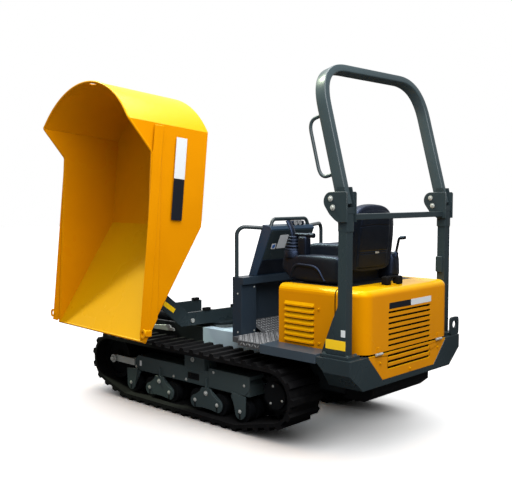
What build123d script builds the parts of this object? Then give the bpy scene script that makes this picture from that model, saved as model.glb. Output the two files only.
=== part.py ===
# Tracked swivel-tip site dumper, millimetres.
# Modelled with X forward, Y to the operator's left and Z up, from the ground midway along the tracks.
# The export moves the whole to stand on the middle of its overall box.
# Rest pose: the skip is slewed to the left and fully tipped, the roll bar is up, the hood is shut.
import os
from math import atan2, cos, degrees, hypot, pi, radians, sin

from build123d import *

os.makedirs("parts", exist_ok=True)

# Tracks
TRACK_OUT = 645.0        # half the width over the tracks
BELT_W = 300.0           # rubber belt width
BELT_T = 24.0            # belt thickness without the lugs
LUG_H = 22.0
LUG_PITCH = 105.0        # wanted lug pitch, the loop takes the nearest whole number
LUG_FOOT = 52.0          # lug length at the belt
LUG_CREST = 34.0         # lug length at its crest
IDLER = (860.0, 283.0)   # idler centre (X, Z)
SPROCKET = (-886.0, 288.0)
WHEEL_R = 166.0          # inner radius of the belt on the idler and the sprocket
RUN_GAP = 0.4            # play between the wheels and the belt
IDLER_HALF = 55.0
IDLER_RIM = 30.0         # rim thickness
IDLER_DISH = 25.0        # depth of the dish on each side
IDLER_BOSS = 55.0
HUB_R = 40.0
HUB_HALF = 68.0
YOKE_T = 15.0            # tension yoke arms
YOKE_LOW = 21.0          # yoke below and above the idler's axis
YOKE_HIGH = 29.0
YOKE_BLOCK = 50.0
AXLE_R = 22.0
AXLE_HEAD = 12.0
DRIVE_STEP = 28.0        # sprocket disc below the belt
DRIVE_HALF = 22.0
TEETH = 13
TOOTH = (36.0, 40.0, 40.0)
HUB_STEP = (112.0, 40.0)     # gearbox cover, radius and width
HUB_CAP = (88.0, 22.0)
MOTOR_R = 105.0
ROLLER_R = 78.0
ROLLER_HALF = 68.0
ROLLER_GROOVE = 20.0     # half the gap between a roller's two treads
ROLLER_HUB = 45.0
FRONT_ROLLER_X = 636.0
REAR_ROLLER_X = -572.0
BOGIE_X = (290.0, -230.0)
BOGIE_HALF = 114.0       # half the roller spacing in one bogie
CHEEK_T = 14.0
SIDE_GAP = 2.0           # play beside the rollers, over the sprocket teeth and under the hood
EAR_R = 36.0             # cheek round the roller axles
BOGIE_EYE = 42.0         # cheek round the bogie's pivot
AXLE_SLOT = 12.0         # open slot below each roller axle
HANGER_LEAN = 60.0       # end brackets, foot to top
FRAME_BOTTOM = 232.0     # roller frame
FRAME_H = 115.0
FRAME_HALF = 75.0
FRAME_SETBACK = 30.0     # frame end behind the front roller
FRAME_TAIL = 73.0        # frame end behind the rear roller
FRAME_BEVEL = 40.0
ARM_T = 35.0             # arm that carries the drive motor
GUIDE_X = (-212.0, -10.0)    # top guide block
GUIDE_HALF = 40.0
GUIDE_GAP = 19.0
GUIDE_TAPER = 20.0

# Chassis
TRACK_GAP = 100.0        # chassis top over the belt's highest lug
CHASSIS_FRONT = 700.0
CHASSIS_KEEL = 250.0
RAIL_T = 20.0
RAIL_FLANGE = 80.0       # from the rail's outer face
NOSE_RISE = 80.0         # keel to the raised ends
NOSE_L = 120.0
TAIL_L = 275.0
TAIL_RAMP = 60.0
RING_DROP = 25.0         # slew ring's seat below the chassis top
RING_GAP = 13.0          # slew ring to the rail flanges
RING_H = 19.0
RING_PLAY = 0.5
RING_SEAT = 355.0        # half the length of the ring's seat plate
CROSS_X = (560.0, -130.0, -620.0)
CROSS_W = 60.0
CROSS_H = 130.0
STUB_X = (330.0, -420.0)     # tubes to the roller frames
STUB_R = 48.0
ENGINE_DROP = 135.0      # engine underside below the chassis top
ENGINE_BEAM = (95.0, 80.0)   # its cross member, ahead of the deck's rear end, and width
ENGINE_BEAM_H = 130.0

# Platform and bodywork
SHEET = 6.0              # sheet metal thickness
DECK_T = 30.0
DECK_SKIRT = 28.0
DECK_EDGE = 14.0
BAY_MARGIN = 45.0        # engine bay cut-out inside the chassis rails
WALL_FRONT = -405.0      # console wall's front face
WALL_T = 85.0
WALL_H = 400.0
WALL_SKIN = 10.0
WALL_END = 150.0         # width of its box ends
WALL_BEAM = (50.0, 20.0)     # top beam, height and overhang
FOOT_L = 320.0           # foot plate length
FOOT_T = 8.0
FOOT_SKIRT = 36.0
FOOT_CORNER = (55.0, 67.0, 70.0)   # chamfered corner: straight part, length and width of the chamfer
PANEL_SETBACK = 30.0     # engine panels behind the foot plate
PANEL_L = 460.0
HOOD_STRIP = 155.0       # walkway beside the hood, where the posts stand
HOOD_H = 390.0
HOOD_ROUND = 45.0        # top edge radius
HOOD_CORNER = 75.0       # upright rear corner radius
SEAM = 10.0              # seam between the side panels and the hood
SEAL_LIP = 3.0           # seal below the outer skin
SEAL_H = 19.0
LOUVRES = 7
LOUVRE_L = 245.0
LOUVRE_OUT = 12.0
LOUVRE_INSET = 56.0
PLATE_MARGIN = 90.0      # seat plate inside the panels
PLATE_T = 12.0
PLATE_LIP = 46.0
BUMPER_L = 263.0
BUMPER_DROP = 10.0       # bumper top below the deck
BUMPER_SIDE = 90.0       # its upright side, then a chamfer
BUMPER_H = 201.0
BUMPER_CHAMFER = 135.0
BUMPER_NOTCH = (145.0, 60.0)
GRILLE_MARGIN = 38.0     # grille panel inside the hood
GRILLE_SIDE = 10.0
GRILLE_H = 165.0
GRILLE_CHAMFER = 150.0
GRILLE_T = 10.0
GRILLE_SET = 2.0         # panel below the bumper's rear face
SLOT_MARGIN = 242.0      # cooling slots inside the hood
SLOT_H = 14.0
HOOD_SLOTS = 7
GRILLE_SLOTS = 3
SLOT_START = 32.0        # lowest hood slot over the deck
SLOT_TOP = 115.0         # bare band over the hood slots
GRILLE_PITCH = 37.0
GRILLE_START = 24.0
HINGE_INSET = 60.0       # hood hinges inside the rounded corners
HINGE_L = 70.0
HINGE_R = 7.0
HINGE_LEAF = (36.0, 32.0, 4.0)
BELLY_INSET = 58.0
BELLY_MARGIN = 15.0
BELLY_H = 119.0
BELLY_BEVEL = (60.0, 50.0)
ENGINE_L = 480.0
ENGINE_BACK = 125.0      # engine behind the hood seam
ENGINE_MARGIN = 35.0     # engine inside the rail flanges
ENGINE_HEAD = 60.0       # engine block below the hood
COVER = (180.0, 30.0)    # rocker cover, length and height
TIE_SIZE = (30.0, 70.0, 107.0)
TIE_EYE = (24.0, 32.0, 52.0)     # oblong eye, width, height and rise
TIE_SHIFT = 3.0

# Roll bar
POST_INSET = 77.0        # post centre inside the track's outer face
POST_BACK = 96.0         # post centre ahead of the rear face
POST = 60.0
POST_H = 860.0           # post top over the deck
FOOT_PAD = (210.0, 120.0, 18.0)
PAD_BACK = 28.0
PAD_SHIFT = 2.0
GUSSET_H = 267.0
GUSSET_T = 12.0
GUSSET_TOE = 24.0
CLEVIS_T = 6.0
CLEVIS_GAP = 5.0
CLEVIS_BASE = 36.0
CLEVIS_TOP = 82.0        # over the pivot
PIVOT_OUT = 44.0         # hoop pivot ahead of the post, and over its top
PIVOT_UP = 76.0
BOLT_R = 12.0
BOLT_HEAD = (19.0, 10.0)
BOLT_PLAY = 0.1
HOOP_LEAN = 18.0         # forward lean of the upper hoop, degrees
HOOP_FOOT = 110.0        # its leg's zero over the post top
HOOP_TAIL = 62.0
HOOP_LEG = 810.0         # leg length to the top bar's centre line
HOOP_BEND = 150.0
HOOP_PLAY = 2.0          # hoop tube thinner than the post
CROSSBAR = (40.0, 36.0, 4.0)     # crossbar depth, height and drop below the post top
HANDLE = (165.0, 495.0, 75.0)    # grab handle: lower end, upper end, reach
HANDLE_R = 11.0
HANDLE_BEND = 40.0

# Operator's place
POD_Y = (-120.0, 345.0)
POD_FOOT = (15.0, 87.0)  # pod foot behind the wall's front face
POD_TOP = (235.0, 332.0)     # lower rear corner of its head, behind the wall's front face and over the wall
POD_HEAD = (12.0, 22.0)
POD_SLOPE = (84.0, 32.0)
RAIL_R = 14.0
RAIL_INSET = 22.0
RAIL_SETBACK = 20.0
RAIL_H = 352.0
RAIL_DROP = 12.0
RAIL_BEND = 60.0
RAIL_REACH = 140.0       # how far the rail runs back to the pod
RAIL_BITE = 25.0
ARCH = (200.0, 62.0, 30.0)   # grab arch: setback, height, slope
ARCH_R = 13.0
ARCH_BEND = 40.0
SEAT_OVER = 60.0         # cushion ahead of the panels
SEAT_L = 410.0
SEAT_HALF = 225.0
SEAT_RISE = 110.0
SEAT_T = 120.0
SEAT_ROUND = 30.0
BASE_MARGIN = 35.0
BASE_L = 360.0
BASE_BACK = 20.0
BACK_FOOT = (60.0, 25.0)     # back rest foot, ahead of and behind the cushion's rear edge
BACK_H = 294.0
BACK_LEAN = 75.0
BACK_HEAD = (28.0, 65.0, 34.0)
BACK_ROUND = 60.0        # upper corners
CONSOLE_W = 112.0
CONSOLE_GAP = 13.0
CONSOLE_L = 400.0
CONSOLE_H = 140.0
CONSOLE_BACK = 40.0
CONSOLE_NOSE = (20.0, 40.0, 50.0)
STICK_R = (38.0, 24.0, 10.0)
STICK_H = (70.0, 100.0)
STICK_GRIP = (38.0, 110.0, 26.0)
STICK_INSET = 30.0
LEVER_R = 9.0
LEVER_H = 150.0
KNOB_R = 22.0

# Swivel frame
SLEW_X = 266.0           # slew axis
SLEW = 86.0              # slew angle at rest, to the left
TIP = 84.5               # tip angle at rest
CRADLE_RISE = 32.0       # cradle plates over the chassis
CRADLE_H = 98.0
CRADLE_IN = 240.0        # side plates, inner face
CRADLE_T = 15.0
CRADLE_TAIL = 30.0
CRADLE_BEND = (280.0, 341.0)     # kinks of the lower and the upper edge, before the pivot
TABLE_R = 300.0
TABLE_T = 15.0
TIE_BAR = (132.0, 85.0, 20.0)    # cross tube: before and below the pivot, radius
STIFFENER = (200.0, 130.0, 12.0)
PIVOT_OUTWARD = 832.0    # tip pivot from the slew axis
PIVOT_RISE = 335.0       # and over the chassis
NOSE = (42.0, 34.0)      # cradle nose round the pivot
PIN_R = 20.0
PIN_PLAY = 0.1
PIN_STICK = 30.0         # tip pin beyond the side plates
PAD_X = (0.0, 280.0)     # rest pads
PAD_SIZE = (60.0, 30.0, 22.0)
PAD_PLAY = 5.0           # lowered skip over the pads
RAM_BASE_X = 450.0       # tip ram's foot
RAM_BASE_UP = 36.0       # over the plates' lower edge
RAM_PIN_R = 16.0
BARREL_L = 300.0
BARREL_R = 34.0
ROD_R = 18.0
FOOT_EYE = (32.0, 30.0)
ROD_EYE = (26.0, 20.0, 15.0)     # outer radius, bore, half width

# Skip
SKIP_HALF = 585.0        # half the skip width over the rim bars
SKIP_T = 6.0
SKIP_BACK = 655.0        # floor length behind the ramp, to the shoulders
SKIP_BULGE = 288.0       # depth of the rounded back behind the shoulders
SKIP_RAMP = (790.0, 406.0)   # lip, from the floor's front edge
SKIP_RIM = 464.0         # rim height where the slanted part starts
SKIP_SLANT = 462.0       # where that is, behind the ramp
SKIP_HEAD = 655.0        # headboard height
RIM_BAR = (80.0, 15.0)   # rim bar depth and thickness
PIVOT_U = 462.7          # tip pivot on the skip, ahead of the floor's front edge
PIVOT_W = 178.0          # and over the floor
RAM_EYE_U = 174.0        # ram eye ahead of the pivot
LUG_T = 15.0
LUG_GAP = 7.0
LUG_WIDE = (90.0, 110.0)
LUG_ROUND = 36.0
RAM_CHEEK = (21.0, 14.0, 70.0)   # gap from the middle, thickness, half length
LIFT_HOLE = (25.0, 60.0)     # radius, and depth below the headboard's edge
EAR = (80.0, 50.0, 16.0)     # lip ears: length, reach, thickness
EAR_PAD = (12.0, 42.0)
EAR_SET = (40.0, 20.0)
EAR_HOLE = (14.0, 30.0)

# Places that follow from the sizes
MID = TRACK_OUT - BELT_W / 2         # middle of the left track
RAIL_Y = TRACK_OUT - BELT_W          # outer face of the chassis rails
ROLLER_Z = LUG_H + BELT_T + ROLLER_R
CHEEK = ROLLER_HALF + SIDE_GAP      # inner face of the bogie cheeks, from the middle of the track
YOKE = HUB_HALF + SIDE_GAP / 2      # inner face of the yoke arms
FRAME_TOP = FRAME_BOTTOM + FRAME_H
FRAME_FRONT = FRONT_ROLLER_X - FRAME_SETBACK
FRAME_REAR = REAR_ROLLER_X - FRAME_TAIL
CHASSIS_TOP = SPROCKET[1] + WHEEL_R + BELT_T + LUG_H + TRACK_GAP
RING_Z = CHASSIS_TOP - RING_DROP
RING_R = RAIL_Y - RAIL_FLANGE - RING_GAP
ENGINE_Z = CHASSIS_TOP - ENGINE_DROP
DECK_Z = CHASSIS_TOP + DECK_T        # top of the operator's platform
WALL_REAR = WALL_FRONT - WALL_T
WALL_TOP = DECK_Z + WALL_H
DECK_FRONT = WALL_REAR - FOOT_L
PANEL_FRONT = DECK_FRONT - PANEL_SETBACK
PANEL_REAR = PANEL_FRONT - PANEL_L
HOOD_SPLIT = PANEL_REAR - SEAM / 2   # middle of the seam
DECK_REAR = PANEL_REAR + 2.5 * SEAM
REAR_X = DECK_REAR - BUMPER_L        # rear face of the bumper and the hood
HOOD_HALF = TRACK_OUT - HOOD_STRIP
HOOD_TOP = DECK_Z + HOOD_H
PLATE_HALF = HOOD_HALF - PLATE_MARGIN
BUMPER_TOP = DECK_Z - BUMPER_DROP
BUMPER_BOTTOM = BUMPER_TOP - BUMPER_H
SLOT_HALF = HOOD_HALF - SLOT_MARGIN
HINGE_Y = HOOD_HALF - HOOD_CORNER - HINGE_INSET
HOOD_PIVOT = (REAR_X - HINGE_R, DECK_Z - HINGE_LEAF[2])
POST_X = REAR_X + POST_BACK
POST_Y = TRACK_OUT - POST_INSET
POST_TOP = DECK_Z + POST_H
PAD_TOP = BUMPER_TOP + FOOT_PAD[2]   # top of the posts' foot plates
HOOP_PIVOT = (POST_X + PIVOT_OUT, POST_TOP + PIVOT_UP)
SEAT_FRONT = PANEL_FRONT + SEAT_OVER
SEAT_REAR = SEAT_FRONT - SEAT_L
SEAT_Z = HOOD_TOP + SEAT_RISE
CONSOLE_Y = SEAT_HALF + CONSOLE_GAP
CONSOLE_FRONT = PANEL_FRONT + CONSOLE_BACK
CRADLE_Z = CHASSIS_TOP + CRADLE_RISE
CRADLE_TOP = CRADLE_Z + CRADLE_H
CRADLE_OUT = CRADLE_IN + CRADLE_T
PIVOT = (PIVOT_OUTWARD, CHASSIS_TOP + PIVOT_RISE)
RAM_BASE = (RAM_BASE_X, CRADLE_Z + RAM_BASE_UP)
SIDE_V = SKIP_HALF - RIM_BAR[1]      # outer face of the skip's side plates
BACK_R = (SIDE_V ** 2 + SKIP_BULGE ** 2) / (2 * SKIP_BULGE)
BACK_C = -SKIP_BACK - SKIP_BULGE + BACK_R    # centre of the rounded back


def box(x, y, z):
    """Box between two values along each axis."""
    return Pos((x[0] + x[1]) / 2, (y[0] + y[1]) / 2, (z[0] + z[1]) / 2) * Box(
        abs(x[1] - x[0]), abs(y[1] - y[0]), abs(z[1] - z[0]))


def prism_y(points, y0, y1):
    """Polygon given as (x, z), from y0 to y1."""
    face = make_face(Polyline([(x, y0, z) for x, z in points], close=True))
    return extrude(face, amount=y1 - y0, dir=(0, 1, 0))


def prism_x(points, x0, x1):
    """Polygon given as (y, z), from x0 to x1."""
    face = make_face(Polyline([(x0, y, z) for y, z in points], close=True))
    return extrude(face, amount=x1 - x0, dir=(1, 0, 0))


def prism_z(points, z0, z1):
    """Polygon given as (x, y), from z0 to z1."""
    face = make_face(Polyline([(x, y, z0) for x, y in points], close=True))
    return extrude(face, amount=z1 - z0, dir=(0, 0, 1))


def both_sides(half):
    """Closed outline from its left half: the second value is mirrored for (x, y), the first for (y, z)."""
    return half + [(-y, z) for y, z in half[::-1]]


def bar_x(r, x0, x1):
    """Round bar along X."""
    return Pos((x0 + x1) / 2, 0, 0) * Rotation(0, 90, 0) * Cylinder(r, x1 - x0)


def bar_y(x, z, r, y0, y1):
    """Round bar along Y."""
    return Pos(x, (y0 + y1) / 2, z) * Rotation(90, 0, 0) * Cylinder(r, abs(y1 - y0))


def bar_z(x, y, r, z0, z1):
    """Round bar along Z."""
    return Pos(x, y, (z0 + z1) / 2) * Cylinder(r, abs(z1 - z0))


def tube(points, r, bend):
    """Round bar along a polyline with rounded corners."""
    path = FilletPolyline(*[Vector(*p) for p in points], radius=bend)
    start = Plane(origin=path @ 0, z_dir=path % 0)
    return sweep(start * Circle(r), path=path)


def several(*shapes):
    """Separate pieces in one node."""
    return Compound(children=[s for shape in shapes for s in shape.solids()])


def pair(shape):
    """The left piece and its mirror image on the right."""
    return several(shape, mirror(shape, about=Plane.XZ))


def save(shape, name):
    """One STEP file per node; a node may hold several solids."""
    solids = shape.solids()
    body = solids[0] if len(solids) == 1 else Compound(children=list(solids))
    body.label = name
    export_step(body, f"parts/{name}.step")


# Undercarriage

def hull(circles, steps=20):
    """Convex loop around circles (x, z, r) as points, counter-clockwise."""
    turns = [2 * pi * k / (4 * steps) for k in range(4 * steps)]
    pts = sorted((round(x + r * cos(a), 4), round(z + r * sin(a), 4)) for x, z, r in circles for a in turns)

    def half(seq):
        out = []
        for p in seq:
            while len(out) > 1 and ((out[-1][0] - out[-2][0]) * (p[1] - out[-2][1])
                                    - (out[-1][1] - out[-2][1]) * (p[0] - out[-2][0])) <= 1e-6:
                out.pop()
            out.append(p)
        return out[:-1]
    return half(pts) + half(pts[::-1])


def track_circles(extra):
    return [(*IDLER, WHEEL_R + extra), (*SPROCKET, WHEEL_R + extra),
            (FRONT_ROLLER_X, ROLLER_Z, ROLLER_R + extra), (REAR_ROLLER_X, ROLLER_Z, ROLLER_R + extra)]


def track():
    """Belt loop with its lugs in the outline, on the left side."""
    loop = hull(track_circles(BELT_T))
    ends = loop[1:] + loop[:1]
    lengths = [hypot(b[0] - a[0], b[1] - a[1]) for a, b in zip(loop, ends)]
    starts = [sum(lengths[:k]) for k in range(len(lengths))]
    total = sum(lengths)
    count = round(total / LUG_PITCH)
    pitch = total / count

    def at(s, out):
        s %= total
        k = max(i for i, v in enumerate(starts) if v <= s + 1e-9)
        (ax, az), (bx, bz) = loop[k], ends[k]
        tx, tz = (bx - ax) / lengths[k], (bz - az) / lengths[k]
        d = s - starts[k]
        return (ax + tx * d + tz * out, az + tz * d - tx * out)

    outline = []
    foot, crest = LUG_FOOT / 2, LUG_CREST / 2
    for n in range(count):
        s = n * pitch
        for ds, out in ((-foot, 0), (-crest, LUG_H), (crest, LUG_H), (foot, 0)):
            outline.append(at(s + ds, out))
        outline += [at(v, 0) for v in starts if s + 1.15 * foot < v < s + pitch - 1.15 * foot]
    belt = prism_y(outline, RAIL_Y, TRACK_OUT)
    return belt - prism_y(hull(track_circles(0)), RAIL_Y - SHEET, TRACK_OUT + SHEET)


def idler():
    x, z = IDLER
    rim = bar_y(x, z, WHEEL_R - RUN_GAP, MID - IDLER_HALF, MID + IDLER_HALF)
    boss = bar_y(x, z, IDLER_BOSS, MID - HUB_HALF, MID + HUB_HALF)
    for side in (-1, 1):
        face = MID + side * IDLER_HALF
        rim -= bar_y(x, z, WHEEL_R - IDLER_RIM, face, face - side * IDLER_DISH) - boss
    return rim + bar_y(x, z, HUB_R, MID - HUB_HALF, MID + HUB_HALF)


def idler_yoke():
    """Zinc-plated tension yoke: an arm on each side of the idler and a block at the frame."""
    x, z = IDLER
    low, high = z - YOKE_LOW, z + YOKE_HIGH
    arm = [(FRAME_FRONT, low), (x, low), (x + YOKE_HIGH, z - YOKE_LOW / 2), (x + YOKE_HIGH, z + YOKE_HIGH / 2),
           (x, high), (FRAME_FRONT, high)]
    out = YOKE + YOKE_T
    yoke = box((FRAME_FRONT, FRAME_FRONT + YOKE_BLOCK), (MID - out, MID + out), (low, high))
    yoke += prism_y(arm, MID + YOKE, MID + out) + prism_y(arm, MID - out, MID - YOKE)
    return yoke + bar_y(x, z, AXLE_R, MID + out, MID + out + AXLE_HEAD)


def final_drive():
    """Drive sprocket with its gearbox cover and the motor behind it."""
    x, z = SPROCKET
    wheel = bar_y(x, z, WHEEL_R - DRIVE_STEP, MID - DRIVE_HALF, MID + DRIVE_HALF)
    reach = WHEEL_R - SIDE_GAP - TOOTH[2] / 2
    for k in range(TEETH):
        wheel += Pos(x, MID, z) * Rotation(0, 360 * k / TEETH, 0) * Pos(0, 0, reach) * Box(*TOOTH)
    y1 = MID + DRIVE_HALF + HUB_STEP[1]
    wheel += bar_y(x, z, HUB_STEP[0], MID + DRIVE_HALF, y1) + bar_y(x, z, HUB_CAP[0], y1, y1 + HUB_CAP[1])
    return wheel + bar_y(x, z, MOTOR_R, RAIL_Y, MID - DRIVE_HALF)


def rollers():
    """Track rollers with two treads each."""
    out = []
    for x in [FRONT_ROLLER_X, REAR_ROLLER_X] + [b + s * BOGIE_HALF for b in BOGIE_X for s in (-1, 1)]:
        roller = bar_y(x, ROLLER_Z, ROLLER_HUB, MID - CHEEK, MID + CHEEK)
        for s in (-1, 1):
            roller += bar_y(x, ROLLER_Z, ROLLER_R - RUN_GAP, MID + s * ROLLER_GROOVE, MID + s * ROLLER_HALF)
        out.append(roller)
    return several(*out)


def cheeks(circle_groups):
    """An outer and an inner cheek, each the sum of hulls round circles."""
    body = None
    for s in (-1, 1):
        for circles in circle_groups:
            plate = prism_y(hull(circles, 5), MID + s * CHEEK, MID + s * (CHEEK + CHEEK_T))
            body = plate if body is None else body + plate
    return body


def bogies():
    """Two swing bogies and the two fixed end brackets, outer and inner cheeks joined under the frame."""
    out, wide = [], CHEEK + CHEEK_T
    for b in BOGIE_X:
        eye = (b, FRAME_BOTTOM - BOGIE_EYE, BOGIE_EYE)
        ears = [b - BOGIE_HALF, b + BOGIE_HALF]
        body = cheeks([[eye, (x, ROLLER_Z, EAR_R)] for x in ears])
        body += box((b - BOGIE_EYE / 2, b + BOGIE_EYE / 2), (MID - wide, MID + wide),
                    (FRAME_BOTTOM - BOGIE_EYE / 2, FRAME_BOTTOM))
        out.append((body, ears))
    for x, lean in ((FRONT_ROLLER_X, -HANGER_LEAN), (REAR_ROLLER_X, HANGER_LEAN)):
        top = x + lean
        z = FRAME_BOTTOM - EAR_R / 2
        body = cheeks([[(x, ROLLER_Z, EAR_R), (top - EAR_R / 2, z, EAR_R / 2), (top + EAR_R / 2, z, EAR_R / 2)]])
        body += box((top - EAR_R / 2, top + EAR_R / 2), (MID - wide, MID + wide), (z, FRAME_BOTTOM))
        out.append((body, [x]))
    cut = []
    for body, ears in out:
        for x in ears:
            body -= box((x - AXLE_SLOT / 2, x + AXLE_SLOT / 2), (MID - wide - 1, MID + wide + 1),
                        (ROLLER_Z - EAR_R - 1, ROLLER_Z - AXLE_SLOT))
        cut.append(body)
    return several(*cut)


def roller_frame():
    """Beam over the rollers with the motor arm at its rear and the guide block on top."""
    beam = prism_y([(FRAME_REAR, FRAME_BOTTOM), (FRAME_FRONT, FRAME_BOTTOM), (FRAME_FRONT, FRAME_TOP - FRAME_BEVEL),
                    (FRAME_FRONT - FRAME_BEVEL, FRAME_TOP), (FRAME_REAR + FRAME_BEVEL, FRAME_TOP),
                    (FRAME_REAR, FRAME_TOP - FRAME_BEVEL)], MID - FRAME_HALF, MID + FRAME_HALF)
    arm = box((SPROCKET[0] - FRAME_HALF, FRAME_REAR + FRAME_HALF), (MID - FRAME_HALF - ARM_T, MID - FRAME_HALF),
              (FRAME_BOTTOM, FRAME_TOP - FRAME_BEVEL))
    arm -= bar_y(*SPROCKET, MOTOR_R, RAIL_Y - 1, MID)
    (x0, x1), top = GUIDE_X, IDLER[1] + WHEEL_R - GUIDE_GAP
    guide = prism_y([(x0, FRAME_TOP), (x1, FRAME_TOP), (x1 - GUIDE_TAPER, top), (x0 + GUIDE_TAPER, top)],
                    MID - GUIDE_HALF, MID + GUIDE_HALF)
    return beam + arm + guide


def chassis():
    """Welded ladder frame between the tracks: two channels, cross members and the stubs of the roller frames."""
    y, inner, keel = RAIL_Y, RAIL_Y - RAIL_T, CHASSIS_KEEL
    nose = keel + NOSE_RISE
    x0, x1 = DECK_REAR + TAIL_L, CHASSIS_FRONT - NOSE_L
    rail = prism_y([(DECK_REAR, nose), (x0 - TAIL_RAMP, nose), (x0, keel), (x1, keel), (CHASSIS_FRONT, nose),
                    (CHASSIS_FRONT, CHASSIS_TOP), (DECK_REAR, CHASSIS_TOP)], inner, y)
    rail += box((DECK_REAR, CHASSIS_FRONT), (y - RAIL_FLANGE, inner), (CHASSIS_TOP - RAIL_T, CHASSIS_TOP))
    rail += box((x0, x1), (y - RAIL_FLANGE, inner), (keel, keel + RAIL_T))
    body = rail + mirror(rail, about=Plane.XZ)
    body += box((SLEW_X - RING_SEAT, SLEW_X + RING_SEAT), (-inner, inner), (RING_Z - RAIL_T, RING_Z))
    body += box((CHASSIS_FRONT - RAIL_T, CHASSIS_FRONT), (-inner, inner), (nose, CHASSIS_TOP))
    for x in CROSS_X:
        body += box((x - CROSS_W / 2, x + CROSS_W / 2), (-inner, inner), (keel + RAIL_T, keel + RAIL_T + CROSS_H))
    x = DECK_REAR + ENGINE_BEAM[0]
    body += box((x, x + ENGINE_BEAM[1]), (-inner, inner), (ENGINE_Z - ENGINE_BEAM_H, ENGINE_Z))
    for x in STUB_X:
        body += pair(bar_y(x, (FRAME_BOTTOM + FRAME_TOP) / 2, STUB_R, y, MID - FRAME_HALF))
    return body


# Platform, rear end and bodywork

def foot_plate():
    """Tread plate with chamfered front corners and a folded edge."""
    flat, long, wide = FOOT_CORNER

    def outline(inset):
        half = [(WALL_REAR, TRACK_OUT - wide - inset), (WALL_REAR - flat - inset / 2, TRACK_OUT - wide - inset),
                (WALL_REAR - flat - long - inset / 2, TRACK_OUT - inset), (DECK_FRONT, TRACK_OUT - inset)]
        return half + [(x, -y) for x, y in half[::-1]]
    plate = prism_z(outline(0), DECK_Z - FOOT_SKIRT, DECK_Z)
    plate -= prism_z(outline(FOOT_T), DECK_Z - FOOT_SKIRT - 1, DECK_Z - FOOT_T)
    return plate + box((DECK_FRONT, WALL_REAR), (-RAIL_Y, RAIL_Y), (CHASSIS_TOP, DECK_Z - FOOT_T))


def deck():
    """Platform beside and behind the seat, cut out over the engine bay, with a folded edge on each side."""
    bay = RAIL_Y - BAY_MARGIN
    body = box((DECK_REAR, DECK_FRONT), (-TRACK_OUT, TRACK_OUT), (CHASSIS_TOP, DECK_Z))
    body -= box((DECK_REAR - 1, PANEL_FRONT - SEAM), (-bay, bay), (CHASSIS_TOP - 1, DECK_Z + 1))
    for s in (-1, 1):
        edge = sorted((s * (TRACK_OUT - DECK_EDGE), s * TRACK_OUT))
        body += box((DECK_REAR, DECK_FRONT), edge, (CHASSIS_TOP - DECK_SKIRT, CHASSIS_TOP))
    return body


def grille_outline(top):
    half = HOOD_HALF - GRILLE_MARGIN
    return both_sides([(half, top), (half, BUMPER_TOP - GRILLE_SIDE),
                       (half - GRILLE_CHAMFER, BUMPER_TOP - GRILLE_H)])


def rear_bumper():
    """Heavy rear frame with chamfered lower corners, open in the middle for the grille panel."""
    body = prism_x(both_sides([(TRACK_OUT, BUMPER_TOP), (TRACK_OUT, BUMPER_TOP - BUMPER_SIDE),
                               (TRACK_OUT - BUMPER_CHAMFER, BUMPER_BOTTOM)]), REAR_X, DECK_REAR)
    body -= prism_x(grille_outline(BUMPER_TOP + 1), REAR_X - 1, DECK_REAR + 1)
    wide, long = BUMPER_NOTCH
    x, y = DECK_REAR + 1, TRACK_OUT + 1
    for s in (-1, 1):
        body -= prism_z([(x, s * (y - wide)), (x, s * y), (x - long, s * y)], BUMPER_BOTTOM - 1, BUMPER_TOP + 1)
    return body


def slots(zs, x0, x1):
    """Rows of round-ended slots through a rear panel."""
    cutter, r = None, SLOT_H / 2
    for z in zs:
        row = box((x0, x1), (r - SLOT_HALF, SLOT_HALF - r), (z - r, z + r))
        for side in (-1, 1):
            row += Pos(0, side * (SLOT_HALF - r), z) * bar_x(r, x0, x1)
        cutter = row if cutter is None else cutter + row
    return cutter


def grille_panel():
    x = REAR_X + GRILLE_SET
    panel = prism_x(grille_outline(BUMPER_TOP), x, x + GRILLE_T)
    rows = [BUMPER_TOP - GRILLE_START - GRILLE_PITCH * k for k in range(GRILLE_SLOTS)]
    return panel - slots(rows, x - 1, x + GRILLE_T + 1)


def belly_guard():
    x0, half = REAR_X + BELLY_INSET, RAIL_Y - BELLY_MARGIN
    low = BUMPER_BOTTOM - BELLY_H
    long, high = BELLY_BEVEL
    return prism_y([(x0, BUMPER_BOTTOM), (x0, low + high), (x0 + long, low), (DECK_REAR, low),
                    (DECK_REAR, BUMPER_BOTTOM)], -half, half)


def engine():
    x0, half = HOOD_SPLIT - ENGINE_BACK, RAIL_Y - RAIL_FLANGE - ENGINE_MARGIN
    top = HOOD_TOP - ENGINE_HEAD
    long, high = COVER
    block = box((x0, x0 + ENGINE_L), (-half, half), (ENGINE_Z, top))
    middle = x0 + ENGINE_L / 2
    return block + box((middle - long / 2, middle + long / 2), (-half / 2, half / 2), (top, top + high))


def edge_arc(y, z, r, angles):
    """Points of a rounded top edge about (y, z)."""
    return [(y + r * cos(radians(a)), z + r * sin(radians(a))) for a in angles]


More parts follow.
